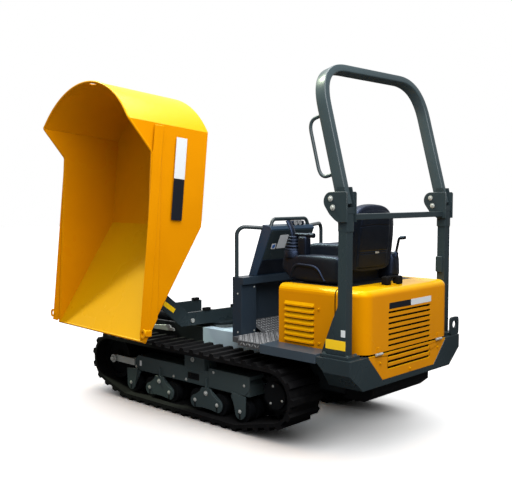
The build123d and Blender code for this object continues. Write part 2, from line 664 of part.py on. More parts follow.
def side_panel():
    """Fixed left engine side panel with a rounded top edge and pressed louvres."""
    y, z, r = HOOD_HALF, HOOD_TOP, HOOD_ROUND
    turn = (18, 36, 54, 72)
    outer = [(y, DECK_Z), (y, z - r), *edge_arc(y - r, z - r, r, turn), (y - r, z), (PLATE_HALF, z)]
    inner = [(PLATE_HALF, z - SHEET), (y - r, z - SHEET), *edge_arc(y - r, z - r, r - SHEET, turn[::-1]),
             (y - SHEET, z - r), (y - SHEET, DECK_Z)]
    panel = prism_x(outer + inner, PANEL_REAR, PANEL_FRONT)
    pitch = (HOOD_H - 2.6 * HOOD_ROUND) / LOUVRES
    x1 = PANEL_FRONT - LOUVRE_INSET
    for k in range(LOUVRES):
        low = DECK_Z + HOOD_ROUND / 2 + pitch * k
        out = y + LOUVRE_OUT
        panel += prism_x([(y, low + 0.67 * pitch), (out, low + 0.2 * pitch), (out, low), (y, low)], x1 - LOUVRE_L, x1)
    return panel


def front_bulkhead():
    half = HOOD_HALF - SHEET
    return box((PANEL_FRONT - SHEET, PANEL_FRONT), (-half, half), (DECK_Z, HOOD_TOP - PLATE_LIP))


def seat_plate():
    top = box((PANEL_REAR, PANEL_FRONT), (-PLATE_HALF, PLATE_HALF), (HOOD_TOP - PLATE_T, HOOD_TOP))
    return top + box((PANEL_FRONT - SHEET, PANEL_FRONT), (-PLATE_HALF, PLATE_HALF),
                     (HOOD_TOP - PLATE_LIP, HOOD_TOP - PLATE_T))


def hood_arch(x0, x1, inset):
    """Solid arch with rounded top edges, from the deck up, inside the hood's outline by an inset."""
    half, top, r = HOOD_HALF - inset, HOOD_TOP - inset, HOOD_ROUND - inset
    pts = [(half, DECK_Z + SIDE_GAP), (half, top - r), *edge_arc(half - r, top - r, r, (15, 30, 45, 60, 75)),
           (half - r, top)]
    return prism_x(both_sides(pts), x0, x1)


def rounded_block(x0, x1, half, low, top, corner, edge):
    """Block with rounded rear corners and a rounded top edge, square at its front."""
    block = box((x0, x1), (-half, half), (low, top))
    block = fillet(block.edges().filter_by(Axis.Z).group_by(Axis.X)[0], corner)
    rim = block.faces().sort_by(Axis.Z)[-1].edges().filter_by(lambda e: e.center().X < x1 - SHEET / 2)
    return fillet(rim, edge)


def rear_hood():
    """Hinged rear hood: a rounded shell with cooling slots, open below and to the front."""
    x1, low, edge = HOOD_SPLIT - SEAM / 2, DECK_Z + SIDE_GAP, HOOD_ROUND - SEAL_LIP
    hood = rounded_block(REAR_X, x1, HOOD_HALF, low, HOOD_TOP, HOOD_CORNER, edge)
    hood -= rounded_block(REAR_X + SHEET, x1 + SHEET, HOOD_HALF - SHEET, low - SHEET, HOOD_TOP - SHEET,
                          HOOD_CORNER - SHEET, edge - SHEET)
    pitch = (HOOD_H - SLOT_START - SLOT_TOP) / HOOD_SLOTS
    hood -= slots([DECK_Z + SLOT_START + pitch * k for k in range(HOOD_SLOTS)], REAR_X - 1, REAR_X + SHEET + 1)
    wide, high, thick = HINGE_LEAF
    for y in (-HINGE_Y, HINGE_Y):
        hood += box((REAR_X - thick, REAR_X), (y - wide / 2, y + wide / 2), (DECK_Z + SHEET, DECK_Z + SHEET + high))
    return hood


def hood_hinges():
    """Hinge barrels and their lower leaves on the bumper."""
    x, z = HOOD_PIVOT
    out, half = [], HINGE_L / 2
    for y in (-HINGE_Y, HINGE_Y):
        leaf = box((REAR_X - SHEET, REAR_X), (y - half, y + half), (z - HINGE_LEAF[1], z))
        lip = box((REAR_X - SHEET, REAR_X + SHEET), (y - half, y + half), (BUMPER_TOP, z))
        out.append(bar_y(x, z, HINGE_R, y - half, y + half) + leaf + lip)
    return several(*out)


def hood_seal():
    """Rubber seal in the seam between the side panels and the hood."""
    x0, x1 = HOOD_SPLIT - SEAM / 2 + RING_PLAY, HOOD_SPLIT + SEAM / 2
    return hood_arch(x0, x1, SEAL_LIP) - hood_arch(x0 - 1, x1 + 1, SEAL_LIP + SEAL_H)


# Roll bar

def rops_post():
    """Left lower post with its foot, gusset and the clevis that holds the hoop."""
    x0, x1 = POST_X - POST / 2, POST_X + POST / 2
    y0, y1 = POST_Y - POST / 2, POST_Y + POST / 2
    long, wide, thick = FOOT_PAD
    pad0, pad1 = REAR_X + PAD_BACK, REAR_X + PAD_BACK + long
    mid = POST_Y + PAD_SHIFT
    post = box((x0, x1), (y0, y1), (PAD_TOP - 1, POST_TOP))
    post += box((pad0, pad1), (mid - wide / 2, mid + wide / 2), (BUMPER_TOP, PAD_TOP))
    post += prism_y([(x1, PAD_TOP), (pad1, PAD_TOP), (pad1, PAD_TOP + GUSSET_TOE), (x1, PAD_TOP + GUSSET_H)],
                    POST_Y - GUSSET_T / 2, POST_Y + GUSSET_T / 2)
    side = CLEVIS_GAP + CLEVIS_T
    base = POST_TOP + CLEVIS_BASE
    post += box((x0 - CLEVIS_T, x1 + CLEVIS_T), (y0 - side, y1 + side), (POST_TOP - 1, base))
    px, pz = HOOP_PIVOT
    r = BOLT_R + 1.7 * BOLT_HEAD[1]
    cheek = [(x0 - CLEVIS_T, POST_TOP), (x1 + CLEVIS_T, POST_TOP), (px + r / 2, base), (px + r, pz - 0.75 * r),
             (px + 1.1 * r, pz), (px + 0.85 * r, pz + 0.75 * r), (px + r / 5, pz + 1.2 * r),
             (x1 + CLEVIS_T, pz + CLEVIS_TOP), (x0 + POST / 4, pz + CLEVIS_TOP), (x0 - CLEVIS_T, base + POST / 2.5)]
    for a, b in ((y0 - side, y0 - CLEVIS_GAP), (y1 + CLEVIS_GAP, y1 + side)):
        post += prism_y(cheek, a, b)
    return post - bar_y(px, pz, BOLT_R + BOLT_PLAY / 2, y0 - side - 1, y1 + side + 1)


def rops_crossbar():
    deep, high, drop = CROSSBAR
    half = POST_Y - POST / 2
    return box((POST_X - deep / 2, POST_X + deep / 2), (-half, half), (POST_TOP - drop - high, POST_TOP - drop))


def hoop_point(y, s):
    """Point in the leaning hoop's plane: s runs up the leg from its foot line."""
    a = radians(HOOP_LEAN)
    return (POST_X + s * sin(a), y, POST_TOP + HOOP_FOOT + s * cos(a))


def rops_hoop():
    """Upper hoop: one bent square tube with a pivot lug at each foot."""
    w = POST - HOOP_PLAY
    corners = ((POST_Y, -HOOP_TAIL), (POST_Y, HOOP_LEG), (-POST_Y, HOOP_LEG), (-POST_Y, -HOOP_TAIL))
    path = FilletPolyline(*[Vector(*hoop_point(y, s)) for y, s in corners], radius=HOOP_BEND)
    start = Plane(origin=path @ 0, x_dir=(0, 1, 0), z_dir=path % 0)
    hoop = sweep(start * RectangleRounded(w, w, POST / 7.5), path=path)
    px, pz = HOOP_PIVOT
    r = 2 * BOLT_R
    for s in (-1, 1):
        ya, yb = sorted((s * (POST_Y - w / 2), s * (POST_Y + w / 2)))
        hoop += prism_y([(POST_X - r / 2, pz - r), (px, pz - r), (px + r, pz), (px + r / 5, pz + r),
                         (POST_X + r / 2, pz + 2 * r)], ya, yb)
        hoop -= bar_y(px, pz, BOLT_R + BOLT_PLAY, ya - 1, yb + 1)
    return hoop


def rops_bolts():
    px, pz = HOOP_PIVOT
    side = POST / 2 + CLEVIS_GAP + CLEVIS_T
    r, thick = BOLT_HEAD
    out = []
    for s in (-1, 1):
        a, b = s * (POST_Y - side), s * (POST_Y + side)
        out.append(bar_y(px, pz, BOLT_R, a, b) + bar_y(px, pz, r, a - s * thick, a)
                   + bar_y(px, pz, r, b, b + s * thick))
    return several(*out)


def grab_handle():
    """Round grab bar in front of the left hoop leg."""
    a = radians(HOOP_LEAN)
    low, high, reach = HANDLE
    edge = (POST - HOOP_PLAY) / 2

    def p(s, out):
        x, y, z = hoop_point(POST_Y, s)
        return (x + out * cos(a), y, z - out * sin(a))
    return tube([p(low, edge), p(low, edge + reach), p(high, edge + reach), p(high, edge)], HANDLE_R, HANDLE_BEND)


def tie_down():
    """Tie-down plate with an oblong eye on the right rear foot."""
    thick, wide, high = TIE_SIZE
    x0, y = REAR_X + thick, TIE_SHIFT - POST_Y
    eye_w, eye_h, rise = TIE_EYE
    low = PAD_TOP + rise
    plate = box((x0, x0 + thick), (y - wide / 2, y + wide / 2), (PAD_TOP, PAD_TOP + high))
    return plate - box((x0 - 1, x0 + thick + 1), (y - eye_w / 2, y + eye_w / 2), (low, low + eye_h))


# Operator's place

def console_wall():
    """Wall in front of the operator's feet: a skin between two box ends, under a top beam."""
    high, over = WALL_BEAM
    wall = box((WALL_FRONT - WALL_SKIN, WALL_FRONT), (-HOOD_HALF, HOOD_HALF), (CHASSIS_TOP, WALL_TOP))
    for s in (-1, 1):
        ends = sorted((s * (HOOD_HALF - WALL_END), s * HOOD_HALF))
        wall += box((WALL_REAR, WALL_FRONT), ends, (CHASSIS_TOP, WALL_TOP))
    return wall + box((WALL_REAR - over, WALL_FRONT), (-HOOD_HALF, HOOD_HALF), (WALL_TOP - high, WALL_TOP))


def console_pod():
    """Leaning instrument pod on the wall."""
    x, z = WALL_FRONT - POD_TOP[0], WALL_TOP + POD_TOP[1]
    side = [(WALL_FRONT - POD_FOOT[0], WALL_TOP), (WALL_FRONT - POD_FOOT[1], WALL_TOP), (x, z),
            (x + POD_HEAD[0], z + POD_HEAD[1]), (x + POD_SLOPE[0], z + POD_SLOPE[1])]
    return prism_y(side, *POD_Y)


def handrails():
    """A rail from each end of the wall up and over to the pod, and the arch over the pod."""
    x, y, top = WALL_FRONT - RAIL_SETBACK, HOOD_HALF - RAIL_INSET, WALL_TOP + RAIL_H
    pod, out = console_pod(), []
    for s, end in ((1, POD_Y[1] - RAIL_BITE), (-1, POD_Y[0] + RAIL_BITE)):
        turn = [(x, s * y, WALL_TOP), (x, s * y, top), (x - RAIL_REACH, end, top - RAIL_DROP)]
        out.append(tube(turn, RAIL_R, RAIL_BEND) - pod)
    back, high, slope = ARCH
    x, low = WALL_FRONT - back, top - RAIL_DROP
    a, b = POD_Y[0] + RAIL_BITE, POD_Y[1] - RAIL_BITE
    arch = tube([(x, b, low), (x, b - slope, low + high), (x, a + slope, low + high), (x, a, low)], ARCH_R, ARCH_BEND)
    return several(*out, arch - pod)


def seat_base():
    half, x1 = SEAT_HALF - BASE_MARGIN, SEAT_FRONT - BASE_BACK
    return box((x1 - BASE_L, x1), (-half, half), (HOOD_TOP, SEAT_Z))


def seat_cushion():
    pan = box((SEAT_REAR, SEAT_FRONT), (-SEAT_HALF, SEAT_HALF), (SEAT_Z, SEAT_Z + SEAT_T))
    pan = fillet(pan.edges().filter_by(Axis.Z), SEAT_ROUND)
    return fillet(pan.edges().group_by(Axis.Z)[-1], SEAT_ROUND)


def seat_back():
    """Back rest that leans to the rear, with rounded upper corners."""
    z = SEAT_Z + SEAT_T - BASE_BACK / 2
    front, rear = SEAT_REAR + BACK_FOOT[0], SEAT_REAR - BACK_FOOT[1]
    dx, dy, dz = BACK_HEAD
    top, lean, half, r = z + BACK_H, rear - BACK_LEAN, SEAT_HALF, BACK_ROUND
    back = prism_y([(front, z), (rear, z), (lean, top - dz), (lean + dx, top), (lean + dy, top - dz / 2.4)], -half, half)
    corner = [(half, z - 1), (half, top - r), *edge_arc(half - r, top - r, r, (18, 36, 54, 72)), (half - r, top)]
    return (back & prism_x(both_sides(corner), lean - 1, front + 1)) - seat_cushion()


def side_console(s):
    """Moulded console beside the seat."""
    x1, x0, z = CONSOLE_FRONT, CONSOLE_FRONT - CONSOLE_L, HOOD_TOP
    dx, drop, long = CONSOLE_NOSE
    pts = [(x0, z), (x1, z), (x1 + dx, z + CONSOLE_H - drop), (x1 + dx - long, z + CONSOLE_H),
           (x0 + dx, z + CONSOLE_H - dx / 2)]
    return prism_y(pts, *sorted((s * CONSOLE_Y, s * (CONSOLE_Y + CONSOLE_W))))


def levers():
    """Joystick with a cross grip on the left, a plain lever on the right."""
    y, z = CONSOLE_Y + CONSOLE_W / 2, HOOD_TOP + CONSOLE_H
    x = CONSOLE_FRONT - STICK_INSET
    foot, tip, shaft = STICK_R
    boot, high = STICK_H
    gx, gy, gz = STICK_GRIP
    stick = Pos(x, y, z + boot / 2 - CONSOLE_NOSE[0]) * Cone(foot, tip, boot)
    stick += bar_z(x, y, shaft, z + boot / 2, z + boot + high - CONSOLE_NOSE[0])
    top = z + boot + high - CONSOLE_NOSE[0]
    stick += box((x - gx / 2, x + gx / 2), (y - gy / 2, y + gy / 2), (top - 2, top - 2 + gz))
    x = CONSOLE_FRONT - CONSOLE_L + STICK_INSET + CONSOLE_NOSE[0]
    lever = bar_z(x, -y, LEVER_R, z - CONSOLE_NOSE[0], z - CONSOLE_NOSE[0] + LEVER_H)
    lever += Pos(x, -y, z - CONSOLE_NOSE[0] + LEVER_H + KNOB_R / 2) * Sphere(KNOB_R)
    return several(stick - side_console(1), lever - side_console(-1))


# Swivel frame

def on_cradle(shape):
    """From the cradle's own axes (outward, sideways, up) to the machine's."""
    return Pos(SLEW_X, 0, 0) * Rotation(0, 0, SLEW) * shape


def cradle():
    """Turntable plate with two hockey-stick side plates that rise to the tip pivot."""
    zb, zt = CRADLE_Z, CRADLE_TOP
    px, pz = PIVOT
    out, side = NOSE
    stick = [(-CRADLE_TAIL, zb), (px - CRADLE_BEND[0], zb), (px + side, pz - side), (px + out, pz),
             (px + out / 2, pz + 0.8 * side), (px - out / 2, pz + 0.95 * side), (px - 1.6 * out, pz + side / 3),
             (px - CRADLE_BEND[1], zt), (-CRADLE_TAIL, zt)]
    body = bar_z(0, 0, TABLE_R, zb - TABLE_T, zb)
    for s in (-1, 1):
        ya, yb = sorted((s * CRADLE_IN, s * CRADLE_OUT))
        plate = prism_y(stick, ya, yb) - bar_y(px, pz, PIN_R + PIN_PLAY / 2, ya - 1, yb + 1)
        body += plate - bar_y(*RAM_BASE, RAM_PIN_R + PIN_PLAY / 2, ya - 1, yb + 1)
    back, low, r = TIE_BAR
    body += bar_y(px - back, pz - low, r, -CRADLE_IN, CRADLE_IN)
    x, long, thick = STIFFENER
    return body + box((x, x + long), (-CRADLE_IN, CRADLE_IN), (zb, zb + thick))


def rest_pads():
    """Rubber pads on the cradle's side plates, under the lowered skip."""
    long, wide, high = PAD_SIZE
    mid = (CRADLE_IN + CRADLE_OUT) / 2
    return several(*[box((x, x + long), (s * mid - wide / 2, s * mid + wide / 2), (CRADLE_TOP, CRADLE_TOP + high))
                     for x in PAD_X for s in (-1, 1)])


def pins():
    """Tip pins in the side plates and the ram's foot pin across them."""
    px, pz = PIVOT
    tip = [bar_y(px, pz, PIN_R, s * (CRADLE_IN - SIDE_GAP), s * (CRADLE_OUT + PIN_STICK)) for s in (-1, 1)]
    half = CRADLE_OUT + PIN_STICK / 4
    return several(*tip, bar_y(*RAM_BASE, RAM_PIN_R, -half, half))


def ram_pose():
    """Tip ram's direction in degrees and length at rest."""
    t = radians(TIP)
    dx = PIVOT[0] + RAM_EYE_U * cos(t) - RAM_BASE[0]
    dz = PIVOT[1] - RAM_EYE_U * sin(t) - RAM_BASE[1]
    return degrees(atan2(dz, dx)), hypot(dx, dz)


def on_ram(shape):
    """Ram axis along +X from its foot, to the cradle's axes."""
    angle, _ = ram_pose()
    return on_cradle(Pos(RAM_BASE[0], 0, RAM_BASE[1]) * Rotation(0, -angle, 0) * shape)


def ram_barrel():
    r, half = FOOT_EYE
    body = bar_x(BARREL_R, r - 8, BARREL_L) + bar_y(0, 0, r, -half, half)
    body -= bar_y(0, 0, RAM_PIN_R + PIN_PLAY, -half - 1, half + 1)
    return body - bar_x(ROD_R + PIN_PLAY, 2 * half, BARREL_L + 1)


def ram_rod():
    _, length = ram_pose()
    r, bore, half = ROD_EYE
    eye = bar_y(length, 0, r, -half, half) - bar_y(length, 0, bore, -half - 1, half + 1)
    return bar_x(ROD_R, 2.4 * FOOT_EYE[1], length - (r + bore) / 2) + eye


# Skip

def on_skip(shape):
    """From the skip's own axes (pour direction, sideways, up from the floor's front edge)."""
    return on_cradle(Pos(PIVOT[0], 0, PIVOT[1]) * Rotation(0, TIP, 0) * Pos(-PIVOT_U, 0, -PIVOT_W) * shape)


def back_plan(z0, z1, offset, front):
    """Plan of the rounded back, grown by an offset, out to the plane u = front."""
    disc = bar_z(BACK_C, 0, BACK_R + offset, z0, z1)
    side = SIDE_V + offset
    return disc & box((BACK_C - BACK_R - SKIP_HALF, front), (-side, side), (z0 - 1, z1 + 1))


def skip_floor():
    """Flat floor with the rounded back end, and the ramp up to the lip."""
    v = SIDE_V - SKIP_T
    flat = back_plan(0, SKIP_T, -SKIP_T, -SKIP_BACK) + box((-SKIP_BACK, 0), (-v, v), (0, SKIP_T))
    u, w = SKIP_RAMP
    n = hypot(u, w) / SKIP_T
    return flat + prism_y([(0, 0), (u, w), (u - w / n, w + u / n), (-w / n, SKIP_T)], -v, v)


def skip_side(s):
    """Side plate with its rim bar."""
    outline = [(-SKIP_BACK, 0), (0, 0), SKIP_RAMP, (-SKIP_SLANT, SKIP_RIM), (-SKIP_BACK, SKIP_HEAD)]
    plate = prism_y(outline, *sorted((s * (SIDE_V - SKIP_T), s * SIDE_V)))
    u, w = SKIP_RAMP
    deep = RIM_BAR[0]
    foot = deep * u / w
    bar = [(-SKIP_SLANT, SKIP_RIM), (u, w), (u - foot, w - deep), (-SKIP_SLANT, SKIP_RIM - deep)]
    return plate + prism_y(bar, *sorted((s * SIDE_V, s * SKIP_HALF)))


def skip_headboard():
    """Rounded back plate with the lifting hole near its top."""
    plate = back_plan(0, SKIP_HEAD, 0, -SKIP_BACK)
    plate -= back_plan(-1, SKIP_HEAD + 1, -SKIP_T, -SKIP_BACK + 1)
    r, drop = LIFT_HOLE
    u = BACK_C - BACK_R
    return plate - Pos(0, 0, SKIP_HEAD - drop) * bar_x(r, u - drop / 2, u + drop / 2)


def ramp_lug(u, back, ahead, r):
    """Outline of a lug that hangs from the ramp round a pin at u."""
    k = SKIP_RAMP[1] / SKIP_RAMP[0]
    w = PIVOT_W
    return [(u - back, k * (u - back)), (u - 1.15 * r, w - r / 3), (u - r / 2, w - r), (u + r / 2, w - r),
            (u + 1.2 * r, w - r / 5), (u + ahead, k * (u + ahead))]


def skip_lugs():
    """Pivot lugs and ram cheeks under the ramp."""
    out = []
    gap, thick, half = RAM_CHEEK
    for s in (-1, 1):
        ya, yb = sorted((s * (CRADLE_OUT + LUG_GAP), s * (CRADLE_OUT + LUG_GAP + LUG_T)))
        lug = prism_y(ramp_lug(PIVOT_U, *LUG_WIDE, LUG_ROUND), ya, yb)
        out.append(lug - bar_y(PIVOT_U, PIVOT_W, PIN_R + PIN_PLAY, ya - 1, yb + 1))
        out.append(prism_y(ramp_lug(PIVOT_U + RAM_EYE_U, half, half, 0.9 * LUG_ROUND),
                           *sorted((s * gap, s * (gap + thick)))))
    return several(*out)


def lip_eyes():
    """Lifting ears at the ends of the lip."""
    long, reach, thick = EAR
    pad_t, pad_h = EAR_PAD
    u1, w1 = SKIP_RAMP[0] - EAR_SET[0], SKIP_RAMP[1] - EAR_SET[1]
    mid = w1 - pad_h / 2
    r, out_y = EAR_HOLE
    out = []
    for s in (-1, 1):
        y0 = s * SKIP_HALF
        pad = box((u1 - long, u1), sorted((y0, y0 + s * pad_t)), (w1 - pad_h, w1))
        ear = box((u1 - long, u1), sorted((y0, y0 + s * reach)), (mid - thick / 2, mid + thick / 2))
        out.append(pad + ear - bar_z(u1 - long / 2, y0 + s * out_y, r, mid - thick, mid + thick))
    return several(*out)


def main():
    belt = track()
    ring_top = RING_Z + RING_H
    nodes = {
        "track_left": belt, "track_right": mirror(belt, about=Plane.XZ),
        "idlers": pair(idler()), "idler_yokes": pair(idler_yoke()), "final_drives": pair(final_drive()),
        "rollers": pair(rollers()), "bogies": pair(bogies()), "roller_frames": pair(roller_frame()),
        "chassis": chassis(), "foot_plate": foot_plate(), "deck": deck(), "rear_bumper": rear_bumper(),
        "grille_panel": grille_panel(), "belly_guard": belly_guard(), "engine": engine(),
        "side_panels": pair(side_panel()), "front_bulkhead": front_bulkhead(), "seat_plate": seat_plate(),
        "hood_seal": hood_seal(), "hood_hinges": hood_hinges(), "rear_hood": rear_hood(),
        "rops_posts": pair(rops_post()), "rops_crossbar": rops_crossbar(), "rops_bolts": rops_bolts(),
        "rops_hoop": rops_hoop(), "grab_handle": grab_handle(), "tie_down": tie_down(),
        "console_wall": console_wall(), "console_pod": console_pod(), "handrails": handrails(),
        "seat_base": seat_base(), "seat_cushion": seat_cushion(), "seat_back": seat_back(),
        "side_consoles": several(side_console(1), side_console(-1)), "levers": levers(),
        "slew_ring": on_cradle(bar_z(0, 0, RING_R, RING_Z, ring_top)),
        "turntable": on_cradle(bar_z(0, 0, RING_R - RING_GAP / 2, ring_top + RING_PLAY, CRADLE_Z - TABLE_T)),
        "cradle": on_cradle(cradle()), "rest_pads": on_cradle(rest_pads()), "pins": on_cradle(pins()),
        "ram_barrel": on_ram(ram_barrel()), "ram_rod": on_ram(ram_rod()),
        "skip_floor": on_skip(skip_floor()), "skip_sides": on_skip(several(skip_side(1), skip_side(-1))),
        "skip_headboard": on_skip(skip_headboard()), "skip_lugs": on_skip(skip_lugs()),
        "lip_eyes": on_skip(lip_eyes()),
    }
    box_all = Compound(children=[s for shape in nodes.values() for s in shape.solids()]).bounding_box()
    middle = box_all.center()
    for name, shape in nodes.items():
        save(Pos(-middle.X, -middle.Y, -box_all.min.Z) * shape, name)


main()
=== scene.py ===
# %% [markdown]
# # A tracked swivel-tip dumper, dressed over its CAD frame
# The CAD model gives every part its place and size. This lesson adds what a drawing leaves out: paint,
# rubber and vinyl with their grain, the padded seat, bolts, tread bars and blank plates.
# Each piece is a surface worked out with numpy, and each rides on the CAD body that carries it.

import bmesh
import bpy
import numpy as np
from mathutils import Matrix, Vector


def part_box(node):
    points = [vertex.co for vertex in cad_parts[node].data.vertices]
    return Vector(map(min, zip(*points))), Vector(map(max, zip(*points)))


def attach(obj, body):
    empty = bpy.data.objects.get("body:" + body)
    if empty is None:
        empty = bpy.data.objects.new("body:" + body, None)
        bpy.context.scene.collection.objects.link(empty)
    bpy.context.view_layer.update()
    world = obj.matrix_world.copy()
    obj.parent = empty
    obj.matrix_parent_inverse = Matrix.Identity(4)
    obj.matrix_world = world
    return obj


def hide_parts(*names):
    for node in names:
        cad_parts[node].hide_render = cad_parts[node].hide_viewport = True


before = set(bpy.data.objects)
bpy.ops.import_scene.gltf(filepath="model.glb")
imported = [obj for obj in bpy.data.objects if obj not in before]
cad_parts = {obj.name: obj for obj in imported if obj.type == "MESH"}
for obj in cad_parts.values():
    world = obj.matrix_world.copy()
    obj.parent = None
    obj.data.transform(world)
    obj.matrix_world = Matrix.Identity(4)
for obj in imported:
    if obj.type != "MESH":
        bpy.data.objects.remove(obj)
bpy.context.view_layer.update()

# %% [markdown]
# ## The machine's own axes
# A maker measures from the ground midway along the tracks: x forward, y to the operator's left, z up, in
# millimetres. The frame's origin is elsewhere, so one function carries points over. The skip and its cradle
# have axes of their own, because they stand slewed and tipped in this pose.

# %% Places in the machine, the cradle and the skip
REAR_X, TRACK_HALF = -1538.0, 645.0
ORIGIN = np.array([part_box("rear_bumper")[0].x - REAR_X / 1000,
                   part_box("track_left")[1].y - TRACK_HALF / 1000, 0.0])
SLEW_X, SLEW, TIP = 266.0, np.radians(86.0), np.radians(84.5)
TIP_PIN, TIP_PIN_ON_SKIP = np.array([832.0, 0.0, 935.0]), np.array([462.7, 0.0, 178.0])


def turn(axis, angle):
    """Rotation matrix about one of the axes x, y or z, from the cosine and sine of the angle."""
    c, s = np.cos(angle), np.sin(angle)
    rows = {"x": [[1, 0, 0], [0, c, -s], [0, s, c]], "y": [[c, 0, s], [0, 1, 0], [-s, 0, c]],
            "z": [[c, -s, 0], [s, c, 0], [0, 0, 1]]}
    return np.array(rows[axis])


def on_machine(points):
    """Millimetres in the machine's axes to metres in the frame."""
    return np.asarray(points, float) / 1000 + ORIGIN


def on_cradle(points):
    """Cradle axes (outward, sideways, up) turned by the slew angle about the slew axis."""
    return on_machine(np.asarray(points, float) @ turn("z", SLEW).T + [SLEW_X, 0, 0])


def on_skip(points):
    """Skip axes (pour direction, sideways, up from the floor's front edge) turned by the tip angle about the pin."""
    return on_cradle((np.asarray(points, float) - TIP_PIN_ON_SKIP) @ turn("y", TIP).T + TIP_PIN)


print("machine origin in the frame", ORIGIN)

# %% [markdown]
# ## Camera
# The photo was taken from behind the left track at eye height, with a short telephoto lens. Its vanishing
# points give the heading and the slight downward look, and the belt width gives the distance.

# %% Camera
camera = bpy.data.objects.new("camera", bpy.data.cameras.new("camera"))
bpy.context.scene.collection.objects.link(camera)
PHOTO_WIDTH, FOCAL_PX = 512, 765
camera.data.lens = camera.data.sensor_width * FOCAL_PX / PHOTO_WIDTH
camera.location = on_machine([-4185, 4235, 1600])
camera.rotation_euler = (np.radians(90 - 3.89), 0, np.radians(-46.5 - 90))
bpy.context.scene.camera = camera
print("lens", round(camera.data.lens, 1), "mm")

# %% [markdown]
# ## Floor and studio light
# A white sweep under two softboxes, one behind the operator's left and one overhead, so that top faces are
# brighter than upright ones and the floor throws light back up. One large lamp would be simpler, but it would
# flatten the machine. The world is white to the camera and dimmer as a light. As a reflection it is bright on
# the backdrop's side and dark behind the camera, so that painted edges show.

# %% Two helpers for shader nodes
bpy.context.scene.view_settings.view_transform = "Standard"


def add(tree, kind, feeds=None, **settings):
    """One shader node with its settings; feeds are values for its sockets, or sockets linked to them."""
    node = tree.nodes.new(kind)
    for key, value in settings.items():
        setattr(node, key, value)
    for key, value in (feeds or {}).items():
        if isinstance(value, bpy.types.NodeSocket):
            tree.links.new(value, node.inputs[key])
        else:
            node.inputs[key].default_value = value
    return node


def hex_colour(text):
    """sRGB hex to linear RGBA: c/12.92 below 0.04045, else ((c + 0.055) / 1.055) to the power 2.4."""
    c = np.array([int(text[k:k + 2], 16) for k in (1, 3, 5)]) / 255
    linear = np.where(c <= 0.04045, c / 12.92, ((c + 0.055) / 1.055) ** 2.4)
    return (*linear.tolist(), 1.0)


# %% World
WORLD_LIGHT, ROOM_MIRRORED, BACKDROP_MIRRORED = 0.32, 0.02, 0.75
BACKDROP_HEADING = (0.688, -0.725, 0.0)
world = bpy.data.worlds.new("studio")
bpy.context.scene.world = world
world.use_nodes = True
tree = world.node_tree
tree.nodes.clear()
path = add(tree, "ShaderNodeLightPath")
heading = add(tree, "ShaderNodeTexCoord").outputs["Generated"]
towards = add(tree, "ShaderNodeVectorMath", {0: heading, 1: BACKDROP_HEADING}, operation="DOT_PRODUCT")
mirrored_level = add(tree, "ShaderNodeMapRange", {"Value": towards.outputs["Value"], "From Min": 0.1, "From Max": 0.7,
                                                  "To Min": ROOM_MIRRORED, "To Max": BACKDROP_MIRRORED},
                     interpolation_type="SMOOTHSTEP")
level = add(tree, "ShaderNodeMix", {0: path.outputs["Is Glossy Ray"], 2: WORLD_LIGHT, 3: mirrored_level.outputs[0]})
seen = add(tree, "ShaderNodeMath", {0: level.outputs[0], 1: path.outputs["Is Camera Ray"]}, operation="MAXIMUM")
sky = add(tree, "ShaderNodeBackground", {"Color": (1, 1, 1, 1), "Strength": seen.outputs[0]})
add(tree, "ShaderNodeOutputWorld", {"Surface": sky.outputs[0]})
print("world light", WORLD_LIGHT)

# %% [markdown]
# The floor is paper. The lamps leave it out, by light linking: its soft shadow comes from the world's light, and
# an occlusion node darkens it close to the tracks. Its brightness differs for the camera, for light thrown back
# at the machine and for reflections.

# %% Floor
FLOOR_HALF, FLOOR_SEEN, FLOOR_BOUNCE, FLOOR_MIRRORED, CONTACT_REACH = 30.0, 4.6, 1.6, 0.1, 0.3


def grey(level):
    """A neutral colour of that level."""
    return (level, level, level, 1.0)


floor_mesh = bpy.data.meshes.new("floor")
floor_mesh.from_pydata(FLOOR_HALF * np.array([[-1, -1, 0], [1, -1, 0], [1, 1, 0], [-1, 1, 0]]), [], [[0, 1, 2, 3]])
floor = bpy.data.objects.new("floor", floor_mesh)
bpy.context.scene.collection.objects.link(floor)
paper = bpy.data.materials.new("paper_sweep")
paper.use_nodes = True
tree = paper.node_tree
tree.nodes.clear()
path = add(tree, "ShaderNodeLightPath")
bounced = add(tree, "ShaderNodeMix", {0: path.outputs["Is Glossy Ray"], 6: grey(FLOOR_BOUNCE),
                                      7: grey(FLOOR_MIRRORED)}, data_type="RGBA")
shown = add(tree, "ShaderNodeMix", {0: path.outputs["Is Camera Ray"], 6: bounced.outputs[2],
                                    7: grey(FLOOR_SEEN)}, data_type="RGBA")
contact = add(tree, "ShaderNodeAmbientOcclusion", {"Color": shown.outputs[2], "Distance": CONTACT_REACH},
              samples=8)
matt = add(tree, "ShaderNodeBsdfDiffuse", {"Color": contact.outputs["Color"]})
add(tree, "ShaderNodeOutputMaterial", {"Surface": matt.outputs[0]})
floor_mesh.materials.append(paper)
print("floor", 2 * FLOOR_HALF, "m wide")

# %% [markdown]
# A sun ahead of the machine, with a faint green-yellow tint, gives the edge of shadow across the skip's ramp and
# the lit faces their yellower tone. A lamp close by could do it too, but its shadow edge would fan out.

# %% Lamps
def add_lamp(name, kind, place, aim, strength, **settings):
    """A lamp at a machine point that looks at another."""
    lamp = bpy.data.objects.new(name, bpy.data.lights.new(name, kind))
    bpy.context.scene.collection.objects.link(lamp)
    start, end = on_machine(place), on_machine(aim)
    lamp.location = start
    down = end - start
    flat = np.hypot(down[0], down[1])
    lamp.rotation_euler = (np.arctan2(flat, -down[2]), 0, np.arctan2(down[1], down[0]) - np.pi / 2)
    lamp.data.energy = strength
    for key, value in settings.items():
        setattr(lamp.data, key, value)
    return lamp


